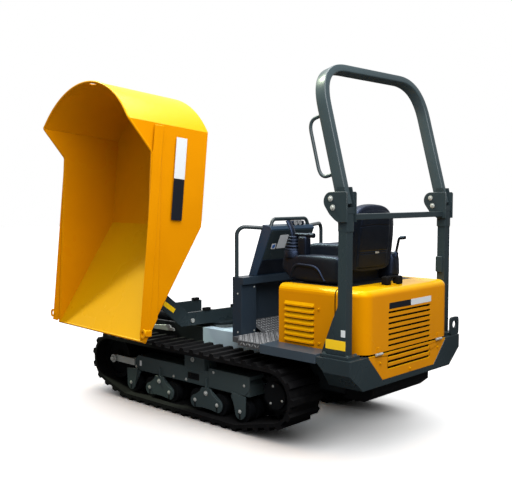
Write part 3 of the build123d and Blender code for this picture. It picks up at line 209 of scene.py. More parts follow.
lamps = [add_lamp("softbox", "AREA", (-3200, 2000, 4400), (-300, 300, 700), 330, size=4.0),
         add_lamp("overhead", "AREA", (-200, 200, 5600), (-200, 200, 0), 260, size=4.0),
         add_lamp("key_sun", "SUN", (4080, 990, 4290), (0, 0, 0), 4.0, angle=np.radians(6), color=(0.88, 1.0, 0.72))]
not_floor = bpy.data.collections.new("lit_by_lamps")
not_floor.objects.link(floor)
not_floor.collection_objects[0].light_linking.link_state = "EXCLUDE"
for lamp in lamps:
    lamp.light_linking.receiver_collection = not_floor
print("lamps", [lamp.name for lamp in lamps])

# %% [markdown]
# ## Finishes
# Each finish starts from the real material: how it was made gives its roughness, and a size in millimetres
# gives the scale of its pattern. Patterns use Object coordinates, so they stay on the part in every view.

# %% A start for every finish
def per_metre(millimetres):
    """Texture scale for a pattern of that size: one pattern per so many metres."""
    return 1000.0 / millimetres


def new_finish(name, **shader_values):
    """A material with its shader's plain values set, its node tree, and its Object coordinates."""
    finish = bpy.data.materials.new(name)
    finish.use_nodes = True
    tree = finish.node_tree
    shader = tree.nodes["Principled BSDF"]
    for key, value in shader_values.items():
        shader.inputs[key.replace("_", " ")].default_value = value
    return finish, tree, shader, add(tree, "ShaderNodeTexCoord").outputs["Object"]


def two_tone(tree, where, size_mm, first, second, spread=(0.35, 0.65)):
    """Colour that drifts between two hex values over patches of that size."""
    patch = add(tree, "ShaderNodeTexNoise", {"Vector": where, "Scale": per_metre(size_mm), "Detail": 4.0})
    ramp = add(tree, "ShaderNodeValToRGB", {"Fac": patch.outputs["Fac"]})
    ends = ramp.color_ramp.elements
    ends[0].position, ends[1].position = spread
    ends[0].color, ends[1].color = hex_colour(first), hex_colour(second)
    return patch.outputs["Fac"], ramp.outputs["Color"]


def relief(tree, shader, height, depth_mm, strength=1.0):
    """A height pattern as surface relief of that depth."""
    bump = add(tree, "ShaderNodeBump", {"Height": height, "Distance": depth_mm / 1000, "Strength": strength})
    tree.links.new(bump.outputs["Normal"], shader.inputs["Normal"])


# %% [markdown]
# Body paint is a sprayed polyurethane enamel: glossy, with a faint orange peel a few millimetres wide. Faces that
# look up at rest get a yellower tint from a mask on the surface's direction: painted light, for the sun on top faces.
# The frame's anthracite is a powder coat, which is satin and has a finer grain. The chassis has a light band along its
# length, partly its own paint and partly a painted reflection, with painted shade before and behind it.

# %% Painted sheet metal
def sprayed_paint(name, first, second, roughness, peel_mm, ior=1.28, gleam="#ffffff", lit_top_tint=None):
    """Paint on sheet metal: slow colour drift, roughness drift and orange peel; an optional last colour tints the faces
    that look up, as painted sunlight.
    """
    finish, tree, shader, where = new_finish(name, IOR=ior, Specular_Tint=hex_colour(gleam))
    drift, colour = two_tone(tree, where, 420, first, second)
    # Painted light: faces that look up at rest get a yellower colour, as if lit by the sun.
    if lit_top_tint:
        normal = add(tree, "ShaderNodeTexCoord").outputs["Normal"]
        height = add(tree, "ShaderNodeSeparateXYZ", {"Vector": normal}).outputs["Z"]
        upward = add(tree, "ShaderNodeMapRange", {"Value": height, "From Min": 0.1, "From Max": 0.7})
        lit_tops = add(tree, "ShaderNodeMix", {0: upward.outputs[0], 6: colour, 7: hex_colour(lit_top_tint)}, data_type="RGBA")
        colour = lit_tops.outputs[2]
    tree.links.new(colour, shader.inputs["Base Color"])
    rough = add(tree, "ShaderNodeMapRange", {"Value": drift, "From Min": 0.3, "From Max": 0.7,
                                             "To Min": roughness - 0.04, "To Max": roughness + 0.05})
    tree.links.new(rough.outputs[0], shader.inputs["Roughness"])
    peel = add(tree, "ShaderNodeTexNoise", {"Vector": where, "Scale": per_metre(peel_mm), "Detail": 2.0})
    relief(tree, shader, peel.outputs["Fac"], 0.25, 0.35)
    return finish


# The yellow's last colour is painted light on its upward faces.
enamel_yellow = sprayed_paint("yellow_enamel", "#cd8303", "#c77d02", 0.3, 5.0, 1.36, "#90ff20", "#cd9802")
coat_anthracite = sprayed_paint("anthracite_powder_coat", "#2a3438", "#263034", 0.28, 2.5, 1.42)
coat_track = sprayed_paint("track_frame_grey", "#3c4749", "#364143", 0.4, 2.5, 1.3)
galvanised = sprayed_paint("galvanised_steel", "#a9adab", "#8f9490", 0.42, 12.0, 1.6)
coat_console = sprayed_paint("console_blue_grey", "#28394c", "#243546", 0.3, 2.5, 1.42)
coat_wall = sprayed_paint("wall_slate", "#28333e", "#242e38", 0.3, 2.5, 1.42)
coat_hoop = sprayed_paint("hoop_powder_coat", "#364246", "#313c40", 0.34, 2.5, 1.42)
coat_deck = sprayed_paint("deck_slate", "#3b4650", "#36414a", 0.34, 2.5, 1.42)
coat_black = sprayed_paint("black_powder_coat", "#111316", "#0e1012", 0.45, 2.5)


def band_of_painted_light(name, light, dark, start_x, end_x):
    """Frame colour that is light between two places along the machine and dark before and behind them: painted light
    and shade.
    """
    finish, tree, shader, where = new_finish(name, IOR=1.28, Roughness=0.4)
    _, pale = two_tone(tree, where, 420, *light)
    _, deep = two_tone(tree, where, 420, *dark)
    place = add(tree, "ShaderNodeSeparateXYZ", {"Vector": where})
    middle, half = (start_x + end_x) / 2000 + float(ORIGIN[0]), (end_x - start_x) / 2000
    share = add(tree, "ShaderNodeMath", {0: place.outputs["X"], 1: middle, 2: half}, operation="COMPARE")
    tone = add(tree, "ShaderNodeMix", {0: share.outputs[0], 6: deep, 7: pale}, data_type="RGBA")
    tree.links.new(tone.outputs[2], shader.inputs["Base Color"])
    return finish


# Painted light and shade: the light band is partly the frame's own light grey and partly a painted reflection; the dark
# ends are painted shade.
frame_painted_light = band_of_painted_light("frame_painted_light_and_shade", ("#bcd2de", "#afc6d2"), ("#1b2023", "#171b1e"), -560, 60)
print("painted finishes ready")

# %% [markdown]
# Track rubber is moulded and matt. It greys a little where it meets the ground, so a broken dust pattern
# lightens it. Seals and mats are the same compound without the dust.

# %% Rubber
def moulded_rubber(name, black, dusty, dust_share):
    """Matt rubber with mould grain and patches of dust."""
    finish, tree, shader, where = new_finish(name, IOR=1.25, Roughness=0.75)
    _, colour = two_tone(tree, where, 60, black, dusty, (0.5, 0.5 + 0.5 / max(dust_share, 0.05)))
    tree.links.new(colour, shader.inputs["Base Color"])
    grain = add(tree, "ShaderNodeTexNoise", {"Vector": where, "Scale": per_metre(3.0), "Detail": 5.0})
    relief(tree, shader, grain.outputs["Fac"], 0.4, 0.5)
    return finish


track_rubber = moulded_rubber("track_rubber", "#0b0b0d", "#1a1a1b", 0.8)
seal_rubber = moulded_rubber("seal_rubber", "#08090a", "#0e0e0f", 0.3)

# %% [markdown]
# Zinc plating is a cool, slightly blotchy metal. The tread plate is rolled aluminium, brighter on its bars.
# The ram's rod is hard chrome, and the castings under the hood are painted dark grey.

# %% Metals
def plated_metal(name, first, second, patch_mm, roughness, metallic=1.0):
    """Metal with patches of two tones; the roughness follows the patches."""
    finish, tree, shader, where = new_finish(name, Metallic=metallic)
    patch, colour = two_tone(tree, where, patch_mm, first, second)
    tree.links.new(colour, shader.inputs["Base Color"])
    rough = add(tree, "ShaderNodeMapRange", {"Value": patch, "To Min": roughness - 0.1, "To Max": roughness + 0.12})
    tree.links.new(rough.outputs[0], shader.inputs["Roughness"])
    scuff = add(tree, "ShaderNodeTexNoise", {"Vector": where, "Scale": per_metre(4.0), "Detail": 6.0})
    relief(tree, shader, scuff.outputs["Fac"], 0.15, 0.3)
    return finish


zinc_plate = plated_metal("zinc_plate", "#c2c5c4", "#a8aaa4", 18, 0.36, 0.35)
tread_aluminium = plated_metal("rolled_aluminium", "#5a5c5f", "#4f5154", 40, 0.5, 0.45)
bar_aluminium = plated_metal("tread_bar_aluminium", "#a4a6a8", "#949698", 25, 0.5, 0.45)
hard_chrome = plated_metal("hard_chrome", "#c9cccf", "#c2c5c8", 60, 0.14)
cast_iron = sprayed_paint("painted_casting", "#2a2d30", "#232628", 0.6, 3.0)

# %% [markdown]
# The seat is covered in black vinyl with a pressed leather grain; its cells are about 2 mm, drawn at 4 mm so
# that they show. The consoles are moulded polypropylene with a finer grain. Both have a cool gleam. Signs and
# labels are blank vinyl films.

# %% Vinyl, mouldings and blank films
def grained(name, first, second, cell_mm, depth_mm, roughness):
    """Pressed grain: rounded cells between creases, from the distance to the nearest cell wall."""
    finish, tree, shader, where = new_finish(name, IOR=1.55, Roughness=roughness, Specular_Tint=hex_colour("#a8c4ff"))
    _, colour = two_tone(tree, where, 90, first, second)
    tree.links.new(colour, shader.inputs["Base Color"])
    cells = add(tree, "ShaderNodeTexVoronoi", {"Vector": where, "Scale": per_metre(cell_mm)},
                feature="DISTANCE_TO_EDGE")
    crease = add(tree, "ShaderNodeMapRange", {"Value": cells.outputs["Distance"], "From Max": 0.18})
    relief(tree, shader, crease.outputs[0], depth_mm, 0.6)
    return finish


def printed_film(name, colour):
    """Blank vinyl film: even colour, faint wrinkles from the squeegee."""
    finish, tree, shader, where = new_finish(name, Roughness=0.35, IOR=1.5, Base_Color=hex_colour(colour))
    wave = add(tree, "ShaderNodeTexNoise", {"Vector": where, "Scale": per_metre(25.0)})
    relief(tree, shader, wave.outputs["Fac"], 0.2, 0.3)
    return finish


seat_vinyl = grained("black_seat_vinyl", "#151922", "#11141c", 4.0, 0.5, 0.45)
console_plastic = grained("black_console_moulding", "#0d1118", "#0a0d12", 2.6, 0.25, 0.42)
film_yellow = printed_film("blank_yellow_film", "#f0c410")
film_white = printed_film("blank_white_film", "#c9cdd0")
film_black = printed_film("blank_black_film", "#15181f")
film_blue = printed_film("blank_blue_film", "#3a68b0")
print("finishes ready")

# %% [markdown]
# Every CAD node gets one of these finishes. The names are the parts of the CAD model.

# %% Dress the CAD nodes
FINISH_OF = {
    track_rubber: "track_left track_right",
    coat_deck: "deck",
    coat_track: "bogies roller_frames",
    galvanised: "idler_yokes",
    coat_anthracite: "rear_bumper rops_posts rops_crossbar rops_hoop handrails grab_handle tie_down turntable cradle",
    coat_console: "console_pod",
    coat_wall: "console_wall",
    coat_black: "idlers rollers final_drives belly_guard front_bulkhead seat_plate hood_hinges ram_barrel",
    frame_painted_light: "chassis",
    enamel_yellow: "grille_panel side_panels rear_hood skip_floor skip_sides skip_headboard skip_lugs lip_eyes",
    seal_rubber: "hood_seal rest_pads",
    zinc_plate: "rops_bolts slew_ring pins",
    tread_aluminium: "foot_plate",
    hard_chrome: "ram_rod",
    cast_iron: "engine",
    seat_vinyl: "seat_cushion seat_back",
    console_plastic: "seat_base side_consoles levers",
}
for finish, names in FINISH_OF.items():
    for node in names.split():
        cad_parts[node].data.materials.clear()
        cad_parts[node].data.materials.append(finish)
print("CAD nodes dressed:", sum(len(names.split()) for names in FINISH_OF.values()))

# %% [markdown]
# Folded sheet and cut plate never have knife edges, and a fine bright line along an edge tells the eye that the part
# is metal. The CAD meshes are loose triangles, so a Weld joins them before a Bevel breaks every edge sharper than 40
# degrees. The CAD mesh itself stays as it is.

# %% Broken edges on the CAD nodes
EDGE_MM = 3.0
for node in ("deck rear_bumper rops_posts rops_crossbar console_wall console_pod cradle chassis roller_frames "
             "skip_sides skip_floor grille_panel").split():
    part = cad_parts[node]
    part.modifiers.new("weld", "WELD").merge_threshold = 0.0001
    edge = part.modifiers.new("edge", "BEVEL")
    edge.width, edge.segments, edge.angle_limit = EDGE_MM / 1000, 2, np.radians(40)
print("edges broken by", EDGE_MM, "mm")

# %% [markdown]
# ## Tools for new pieces
# A surface is a grid of points, and neighbouring points make its faces. A loop of points carried along a
# path gives a tube, a turned part or a plate, closed by a cap at each end. Copies of one small shape are
# placed by a list of turns and shifts, all in one array. A shape is its points and groups of faces.

# %% Surfaces from grids of points
def grid_faces(rows, columns, wrap=True):
    """Quads (i, j), (i, j+1), (i+1, j+1), (i+1, j) of a grid of points; wrap joins the last column to the first."""
    i, j = np.meshgrid(np.arange(rows - 1), np.arange(columns if wrap else columns - 1), indexing="ij")
    k = (j + 1) % columns
    quads = [i * columns + j, i * columns + k, (i + 1) * columns + k, (i + 1) * columns + j]
    return np.stack(quads, -1).reshape(-1, 4)


def skin(loops):
    """Closed loops of equal count, one after the other, with a flat cap at each end."""
    rows, columns = loops.shape[:2]
    ring = np.arange(columns)
    return loops.reshape(-1, 3), [grid_faces(rows, columns), np.stack([ring[::-1], ring + (rows - 1) * columns])]


def walled(sheet, wall):
    """A sheet of points (rows, columns, 3) and its copy shifted by the wall, joined round the rim."""
    rows, columns = sheet.shape[:2]
    outer, n = sheet.reshape(-1, 3), rows * columns
    rim = np.concatenate([np.arange(columns), columns * np.arange(1, rows) + columns - 1,
                          n - 1 - np.arange(1, columns), columns * np.arange(rows - 2, 0, -1)])
    on, quads = np.roll(rim, -1), grid_faces(rows, columns, wrap=False)
    return np.concatenate([outer, outer + wall]), [quads, quads + n, np.stack([rim, on, on + n, rim + n], -1)]


def together(*shapes):
    """Several shapes as one."""
    starts = np.cumsum([0] + [len(points) for points, _ in shapes[:-1]])
    return (np.concatenate([points for points, _ in shapes]),
            [group + start for (_, groups), start in zip(shapes, starts) for group in groups])


def copies(shape, places, facing=None):
    """One shape at many places: turn times point plus place, for all copies at once."""
    points, groups = shape
    places = np.asarray(places, float)
    placed = (points if facing is None else points @ facing.T)[None] + places[:, None]
    starts = np.arange(len(places)) * len(points)
    return placed.reshape(-1, 3), [(group[None] + starts[:, None, None]).reshape(-1, group.shape[1])
                                   for group in groups]


def moved(shape, shift):
    """One shape, shifted."""
    return shape[0] + shift, shape[1]


def mirrored(shape):
    """A shape and its mirror image on the machine's other side."""
    return together(shape, (shape[0] * [1, -1, 1], shape[1]))


FACING = {"left": turn("x", -np.pi / 2), "right": turn("x", np.pi / 2), "rear": turn("y", -np.pi / 2)}


# %% Turned parts, plates and tubes
def circle(radius, count=16):
    """Loop of points: radius times the cosine and sine of the angle."""
    a = np.linspace(0, 2 * np.pi, count, endpoint=False)
    return radius * np.stack([np.cos(a), np.sin(a)], -1)


def arc(centre, radius, start, end, count):
    """Part of a circle between two angles in degrees."""
    a = np.radians(np.linspace(start, end, count))
    return np.asarray(centre) + radius * np.stack([np.cos(a), np.sin(a)], -1)


def lathe(profile, count=24):
    """Turned part about z: radius and height of the profile, carried round by cosine and sine."""
    r, h = np.asarray(profile, float).T
    ring = circle(1.0, count)
    return skin(np.concatenate([r[:, None, None] * ring[None], np.repeat(h, count).reshape(-1, count, 1)], -1))


def slab(outline, thickness, edge=1.0):
    """Plate in the plane of its outline (counter-clockwise, repeated points dropped), with a mitred chamfer on top."""
    p = np.asarray(outline, float)
    p = p[np.linalg.norm(np.roll(p, -1, 0) - p, axis=1) > 1e-6]
    side = np.roll(p, -1, 0) - p
    normal = np.stack([side[:, 1], -side[:, 0]], -1) / np.linalg.norm(side, axis=1, keepdims=True)
    before = np.roll(normal, 1, 0)
    inward = -(normal + before) / (1 + (normal * before).sum(1, keepdims=True))
    levels = [(0, 0), (0, thickness - edge), (edge, thickness)]
    return skin(np.stack([np.column_stack([p + inward * inset, np.full(len(p), z)]) for inset, z in levels]))


def rounded(width, height, radius, steps=5):
    """Rectangle about the origin with rounded corners, counter-clockwise."""
    a = np.linspace(0, np.pi / 2, steps)
    quarter = radius * np.stack([np.cos(a), np.sin(a)], -1)
    corners = np.array([[1, 1], [-1, 1], [-1, -1], [1, -1]]) * [width / 2 - radius, height / 2 - radius]
    turns = [turn("z", k * np.pi / 2)[:2, :2] for k in range(4)]
    return np.concatenate([quarter @ matrix.T + corner for matrix, corner in zip(turns, corners)])


def film(width, height, corner=3):
    """A blank film or label: a sheet 0.8 mm thick with rounded corners."""
    return slab(rounded(width, height, corner), 0.8, 0.3)


def along(path, profile, up=(0, 0, 1)):
    """Profile (a, b) carried along a path: a points across the path and up, b at right angles to a and the path."""
    path, profile = np.asarray(path, float), np.asarray(profile, float)
    ahead = np.gradient(path, axis=0)
    ahead /= np.linalg.norm(ahead, axis=1, keepdims=True)
    across = np.cross(ahead, up)
    across /= np.linalg.norm(across, axis=1, keepdims=True)
    rise = np.cross(across, ahead)
    return skin(path[:, None] + profile[None, :, :1] * across[:, None] + profile[None, :, 1:] * rise[:, None])


def bent(corners, radius, steps=7):
    """A route of straight runs with each inner corner replaced by a quadratic arc of about that radius."""
    p, t = np.asarray(corners, float), np.linspace(0, 1, steps)[:, None]
    back, on = p[:-2] - p[1:-1], p[2:] - p[1:-1]
    start = p[1:-1] + back * np.minimum(radius / np.linalg.norm(back, axis=1), 0.5)[:, None]
    end = p[1:-1] + on * np.minimum(radius / np.linalg.norm(on, axis=1), 0.5)[:, None]
    arcs = (((1 - t) ** 2)[None] * start[:, None] + (2 * t * (1 - t))[None] * p[1:-1, None]
            + (t ** 2)[None] * end[:, None])
    return np.concatenate([p[:1], arcs.reshape(-1, 3), p[-1:]])


def add_piece(name, shape, finish, body="machine", place=on_machine, crease=35):
    """A mesh object from points in millimetres that rides on a body; edges sharper than the crease stay sharp."""
    points, groups = shape
    mesh = bpy.data.meshes.new(name)
    mesh.from_pydata(place(points), [], [face for group in groups for face in group.tolist()])
    outward = bmesh.new()
    outward.from_mesh(mesh)
    bmesh.ops.recalc_face_normals(outward, faces=outward.faces)
    outward.to_mesh(mesh)
    outward.free()
    mesh.polygons.foreach_set("use_smooth", np.ones(len(mesh.polygons), bool))
    mesh.set_sharp_from_angle(angle=np.radians(crease))
    mesh.materials.append(finish)
    piece = bpy.data.objects.new(name, mesh)
    bpy.context.scene.collection.objects.link(piece)
    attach(piece, body)
    print(name, len(mesh.polygons), "faces")
    return piece


def leaning_face(foot, up, out):
    """A place function for a leaning face, whose axes run sideways, up the slope and out of the face."""
    def place(points):
        p = np.asarray(points, float)
        return on_machine(np.array(foot) + p[:, :1] * [0, 1, 0] + p[:, 1:2] * up + p[:, 2:] * out)
    return place


# %% [markdown]
# ## The seat
# A site seat is foam under stretched vinyl on a plastic pan. A cloth simulation could blow up each pad, but
# vinyl this tight hardly wrinkles, so each pad is a superellipsoid: sines and cosines raised to a power below
# one give a box with soft edges. The top is then crowned, the front drops away, the sides rise to bolsters,
# and sewn channels sink in as narrow bell curves.

# %% Soft closed forms
def power(x, e):
    """The power of the size, with the sign kept."""
    return np.sign(x) * np.abs(x) ** e


def dent(distance, width):
    """Bell curve: 1 on the line, falling off within the width."""
    return np.exp(-(distance / width) ** 2)


def soft_box(half, soft=(0.3, 0.3), rows=65, columns=128):
    """Superellipsoid: x = a cos(v)^e cos(u)^f, y = b cos(v)^e sin(u)^f, z = c sin(v)^e over both angles."""
    v = np.linspace(-np.pi / 2 + 0.02, np.pi / 2 - 0.02, rows)[:, None]
    u = np.linspace(0, 2 * np.pi, columns, endpoint=False)[None]
    ring = np.cos(v) ** soft[0]
    return skin(np.stack([half[0] * ring * power(np.cos(u), soft[1]), half[1] * ring * power(np.sin(u), soft[1]),
                          half[2] * power(np.sin(v), soft[0]) + 0 * u], -1))


# %% Seat pads
BACK_LEAN, BACK_CENTRE = turn("y", np.radians(-6)), np.array([-1204.0, 0.0, 1347.0])


def on_back(points):
    """Back rest axes (thickness forward, width, height) leaned to the rear."""
    return on_machine(np.asarray(points, float) @ BACK_LEAN.T + BACK_CENTRE)


def cushion_shape(half=(186.0, 224.0, 62.0), bolster=10, drop=34, hollow=9, channel=7):
    """Seat pad: flat below; above it bolsters, a hollow, a dropping front and sewn channels; sides pull in a little."""
    points, groups = soft_box(half)
    x, y, z = points.T
    top, side, ahead = np.clip(z / half[2], 0, 1), np.abs(y) / half[1], x / half[0]
    z = z + top * (bolster * np.clip((side - 0.62) / 0.3, 0, 1) ** 2 - drop * np.clip(ahead - 0.3, 0, 1) ** 2)
    z = z - top * hollow * dent(np.hypot(x + 30, y), 150)
    z = z - top * channel * (dent(np.abs(y) - 120, 7) + (dent(x + 60, 7) + dent(x - 60, 7)) * (side < 0.54))
    pull = 1 - 0.03 * (1 - ahead ** 2) * (side > 0.9) * (1 - top)
    return np.stack([x - 1022, y * pull, z + 1215], -1), groups


def back_shape(half=(42.0, 224.0, 184.0), bolster=14, lumbar=8, thinned=10, channel=6, dome=44):
    """Back pad: domed head, bolsters, fuller at the small of the back; two upright and three cross channels."""
    points, groups = soft_box(half, (0.34, 0.3))
    x, y, z = points.T
    front, side, up = np.clip(x / half[0], 0, 1), np.abs(y) / half[1], z / half[2]
    x = x + front * (bolster * np.clip((side - 0.6) / 0.35, 0, 1) ** 2 + lumbar * dent(z + 60, 80)
                     - thinned * np.clip(up - 0.5, 0, 1))
    rows = dent(z + 80, 6) + dent(z, 6) + dent(z - 85, 6)
    x = x - front * channel * (dent(np.abs(y) - 140, 6) + (side < 0.62) * rows)
    z = z - dome * side ** 2.4 * np.clip(up, 0, 1)
    return np.stack([x, y * (1 - 0.06 * np.clip(up, 0, 1) ** 2), z + 8], -1), groups


cushion = add_piece("seat_cushion_pad", cushion_shape(), seat_vinyl, crease=60)
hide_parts("seat_cushion")
back = add_piece("seat_back_pad", back_shape(), seat_vinyl, place=on_back, crease=60)
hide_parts("seat_back")

# %% [markdown]
# From behind, the back rest shows its moulded shell: a thin tray that wraps round the pad's sides, with a raised
# middle panel and pressed lines. It is one surface over width and height. A pan carries the cushion.

# %% Seat shell, pan and plate
def shell_shape(count=81, wall=7):
    """Tray behind the pad: flat, curling forward at both sides by a sixth power; panel and pressed lines added."""
    w, h = np.meshgrid(np.linspace(-1, 1, count), np.linspace(-1, 1, count), indexing="ij")
    panel = np.clip((0.72 - np.abs(w)) / 0.05, 0, 1) * np.clip((0.86 - np.abs(h + 0.06)) / 0.05, 0, 1)
    lines = dent(h - 0.5, 0.014) + dent(h + 0.36, 0.014) + dent(h + 0.42, 0.014)
    x = -52 + 14 * np.abs(w) ** 6 + 16 * np.clip(h - 0.8, 0, 1) ** 2 * 20 - 7 * panel + 5 * panel * lines
    y = 243 * w * (1 - 0.11 * np.clip(h, 0, 1) ** 2 - 0.05 * np.clip(-h, 0, 1) ** 4)
    z = 204 * h - 42 - 40 * np.abs(w) ** 2.4 * np.clip(h, 0, 1) + 34 * np.abs(w) ** 5 * np.clip(-h, 0, 1)
    return walled(np.stack([x, y, z], -1), [wall, 0, 0])


add_piece("seat_shell", shell_shape(), console_plastic, place=on_back)
pan = moved(soft_box((196, 214, 26), (0.35, 0.25), 25, 96), [-1020, 0, 1148])
add_piece("seat_pan", pan, console_plastic)
plate = copies(slab(rounded(12, 44, 3), 1.4, 0.4), [[-59, -38, -126]], FACING["rear"])
add_piece("seat_blank_plate", plate, zinc_plate, place=on_back)

# %% [markdown]
# ## Consoles and levers
# The two side consoles are hollow mouldings with rounded edges and an arch pressed into the outer face. Each is
# a row of rounded sections along its length. The left one carries a joystick on a bellows and a short column
# with a cross bar; the right one carries a cranked lever.

# %% Side consoles
def console_shape():
    """Superellipses in y and z along x; the top swells in the middle, the ends close, the front is undercut."""
    s, a = np.linspace(-1, 1, 81)[:, None], np.linspace(0, 2 * np.pi, 64, endpoint=False)[None]
    end = (1 - np.abs(s) ** 16) ** 0.5 * 0.97 + 0.03
    tall = (92 - 9 * s ** 2 - 5 * s) * end
    y, z = power(np.cos(a), 0.36), power(np.sin(a), 0.36)
    height = 1021 + 92 * end ** 0.3 + tall * z
    undercut = 110 * np.clip((1110 - height) / 95, 0, 1) * np.clip((s - 0.4) / 0.6, 0, 1)
    return skin(np.stack([-983 + 262 * s - undercut, 294 + 57 * end * y * (1 - 0.10 * z), height], -1))


def arch_shape():
    """A half-round bead that runs up, over and down on the outer face."""
    route = bent([[-1108, 347, 1040], [-1045, 350, 1130], [-852, 350, 1138], [-818, 347, 1040]], 48, 11)
    return along(route, circle(11, 16), up=(0, 1, 0))


consoles = add_piece("side_consoles_moulded", mirrored(together(console_shape(), arch_shape())), console_plastic)
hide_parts("side_consoles")

# %% Joystick, cross bar and cranked lever
STICK_FOOT, CRANK_FOOT, COLUMN_MIDDLE = [-798, 294, 0], [-1222, -304, 0], [-892, 294, 1256]
h = np.linspace(0, 1, 49)
bellows = np.stack([59 - 24 * h + 4.5 * np.sin(2 * np.pi * 4.5 * h), 1228 + 94 * h], -1)
collar = lathe([(66, 1180), (66, 1218), (58, 1230), (30, 1230)], 32)
grip = bent([[-798, 294, 1312], [-786, 294, 1368], [-748, 294, 1422]], 30, 9)
joystick = together(moved(collar, STICK_FOOT), moved(lathe(bellows, 40), STICK_FOOT),
                    along(grip, circle(1.0, 20) * [12, 24], (0, 1, 0)))
column = soft_box((37, 31, 66), (0.3, 0.35), 25, 48)
bar = [[-820, 294, 1333], [-825, 294, 1333], [-930, 294, 1332], [-935, 294, 1332]]
knob = bent([[-932, 294, 1332], [-936, 294, 1332], [-970, 294, 1331], [-976, 294, 1331]], 4)
cross_bar = together(moved(column, COLUMN_MIDDLE), along(bar, circle(13, 16)), along(knob, circle(17, 16)))
socket = lathe([(20, 1160), (20, 1196), (15, 1204), (10, 1207)], 24)
rod = bent([[-1222, -304, 1180], [-1256, -294, 1302], [-1290, -294, 1306]], 12)
knob = bent([[-1266, -294, 1304], [-1270, -294, 1304], [-1302, -294, 1307], [-1306, -294, 1307]], 4)
crank = together(moved(socket, CRANK_FOOT), along(rod, circle(9, 12), (0, 1, 0)),
                 along(knob, circle(13, 16), (0, 1, 0)))
levers = add_piece("joystick_and_levers", together(joystick, cross_bar, crank), console_plastic)
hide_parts("levers")

# %% [markdown]
# ## Bolts, and the undercarriage
# A bolt head is a hexagon on a washer. Round it, the distance to the flats is the flat's distance over the cosine
# of the angle to the nearest flat, so loops of 24 points make washer, head and chamfer in one skin.

# %% A bolt
def bolt(across):
    """Hexagon head on a washer, standing on z = 0; across is the width over its flats."""
    a = np.linspace(0, 2 * np.pi, 24, endpoint=False)
    hexagon, washer = across / 2 / np.cos((a + np.pi / 6) % (np.pi / 3) - np.pi / 6), np.full(24, 0.95 * across)
    levels = [(washer, 0.0), (washer, 0.14), (hexagon, 0.14), (hexagon, 0.55), (0.84 * hexagon, 0.64)]
    return skin(np.stack([np.column_stack([r * np.cos(a), r * np.sin(a), np.full(24, across * z)])
                          for r, z in levels]))


def upright(shape, y, side=1):
    """A plate drawn in x and z, stood up at a sideways place; its thickness grows outward."""
    a, b, t = shape[0].T
    return np.stack([a, y + side * t, b], -1), shape[1]


# %% [markdown]
# Cut plates carry the rollers: a plate with two lobes over each pair, and a bracket at each end. Covers close the
# frame above them. All are outlines of arcs and straight runs, thickened with a chamfered edge, as cut plate is.

# %% Track frame covers and roller plates
ROLLER_X, ROLLER_Z, BOGIE_X = (636, 404, 176, -116, -344, -572), 124, (290, -230)
CHEEK_Y, FRAME_Y, PLATE_T, COVER_T = 579, 570, 9, 7
IDLER, SPROCKET = (860, 283), (-886, 288)
guide_face = upright(moved(slab(rounded(216, 102, 8), 37, 3), [-91, 384, 0]), 535)
cover = [(-652, 282), (-610, 236), (-250, 236), (-250, 366), (-262, 374), (-652, 374)]
rear_cover = upright(slab(cover, COVER_T, 2), FRAME_Y)
rear_roof = moved(slab(rounded(400, 150, 6), 26, 3), [-450, 495, 347])
ribs = [upright(slab([(x - 5, 224), (x + 5, 224), (x + 5, 294), (x - 5, 294)], 20, 4), FRAME_Y) for x in BOGIE_X]
add_piece("track_frame_covers", mirrored(together(guide_face, rear_cover, rear_roof, *ribs)), coat_track)
half_plate = np.concatenate([[[40, 80]], arc((116, 114), 46, -75, 60, 12), [[104, 166], [66, 196], [46, 226]]])
plate = np.concatenate([half_plate, half_plate[::-1] * [-1, 1]])
bracket = np.concatenate([arc((0, 116), 48, 180, 360, 15), [[52, 232], [-84, 246]]])
outlines = [plate + [x, 0] for x in BOGIE_X]
outlines += [bracket + [ROLLER_X[0], 0], bracket[::-1] * [-1, 1] + [ROLLER_X[-1], 0]]
roller_plates = together(*[upright(slab(outline, PLATE_T, 2), CHEEK_Y) for outline in outlines])
add_piece("roller_plates", mirrored(roller_plates), coat_track)

# %% Axle slots and bolts
slot = slab(rounded(13, 36, 5), 0.8, 0.2)
slots = copies(upright(slot, CHEEK_Y + PLATE_T), [[x, 0, 92] for x in ROLLER_X])
add_piece("axle_slots", mirrored(slots), coat_black)
HUB_RADIUS, HUB_ANGLES = 66, np.radians([75, 200, 305])
hub = np.stack([SPROCKET[0] + HUB_RADIUS * np.cos(HUB_ANGLES), np.full(3, CHEEK_Y),
                SPROCKET[1] + HUB_RADIUS * np.sin(HUB_ANGLES)], -1)
BOLTS = [(15, [[x, CHEEK_Y + PLATE_T, ROLLER_Z] for x in ROLLER_X]),
         (19, [[x, CHEEK_Y + PLATE_T, 190] for x in BOGIE_X] + [[-74, 572, 408]]),
         (34, [[IDLER[0], 591, IDLER[1]]]),
         (11, [[141, FRAME_Y, 250], [0, FRAME_Y, 250], [-602, FRAME_Y + COVER_T, 306],
               [-300, FRAME_Y + COVER_T, 350], [590, FRAME_Y, 255]]),
         (9, hub)]
track_bolts = together(*[copies(bolt(size), spots, FACING["left"]) for size, spots in BOLTS])
add_piece("track_bolts", mirrored(track_bolts), zinc_plate)
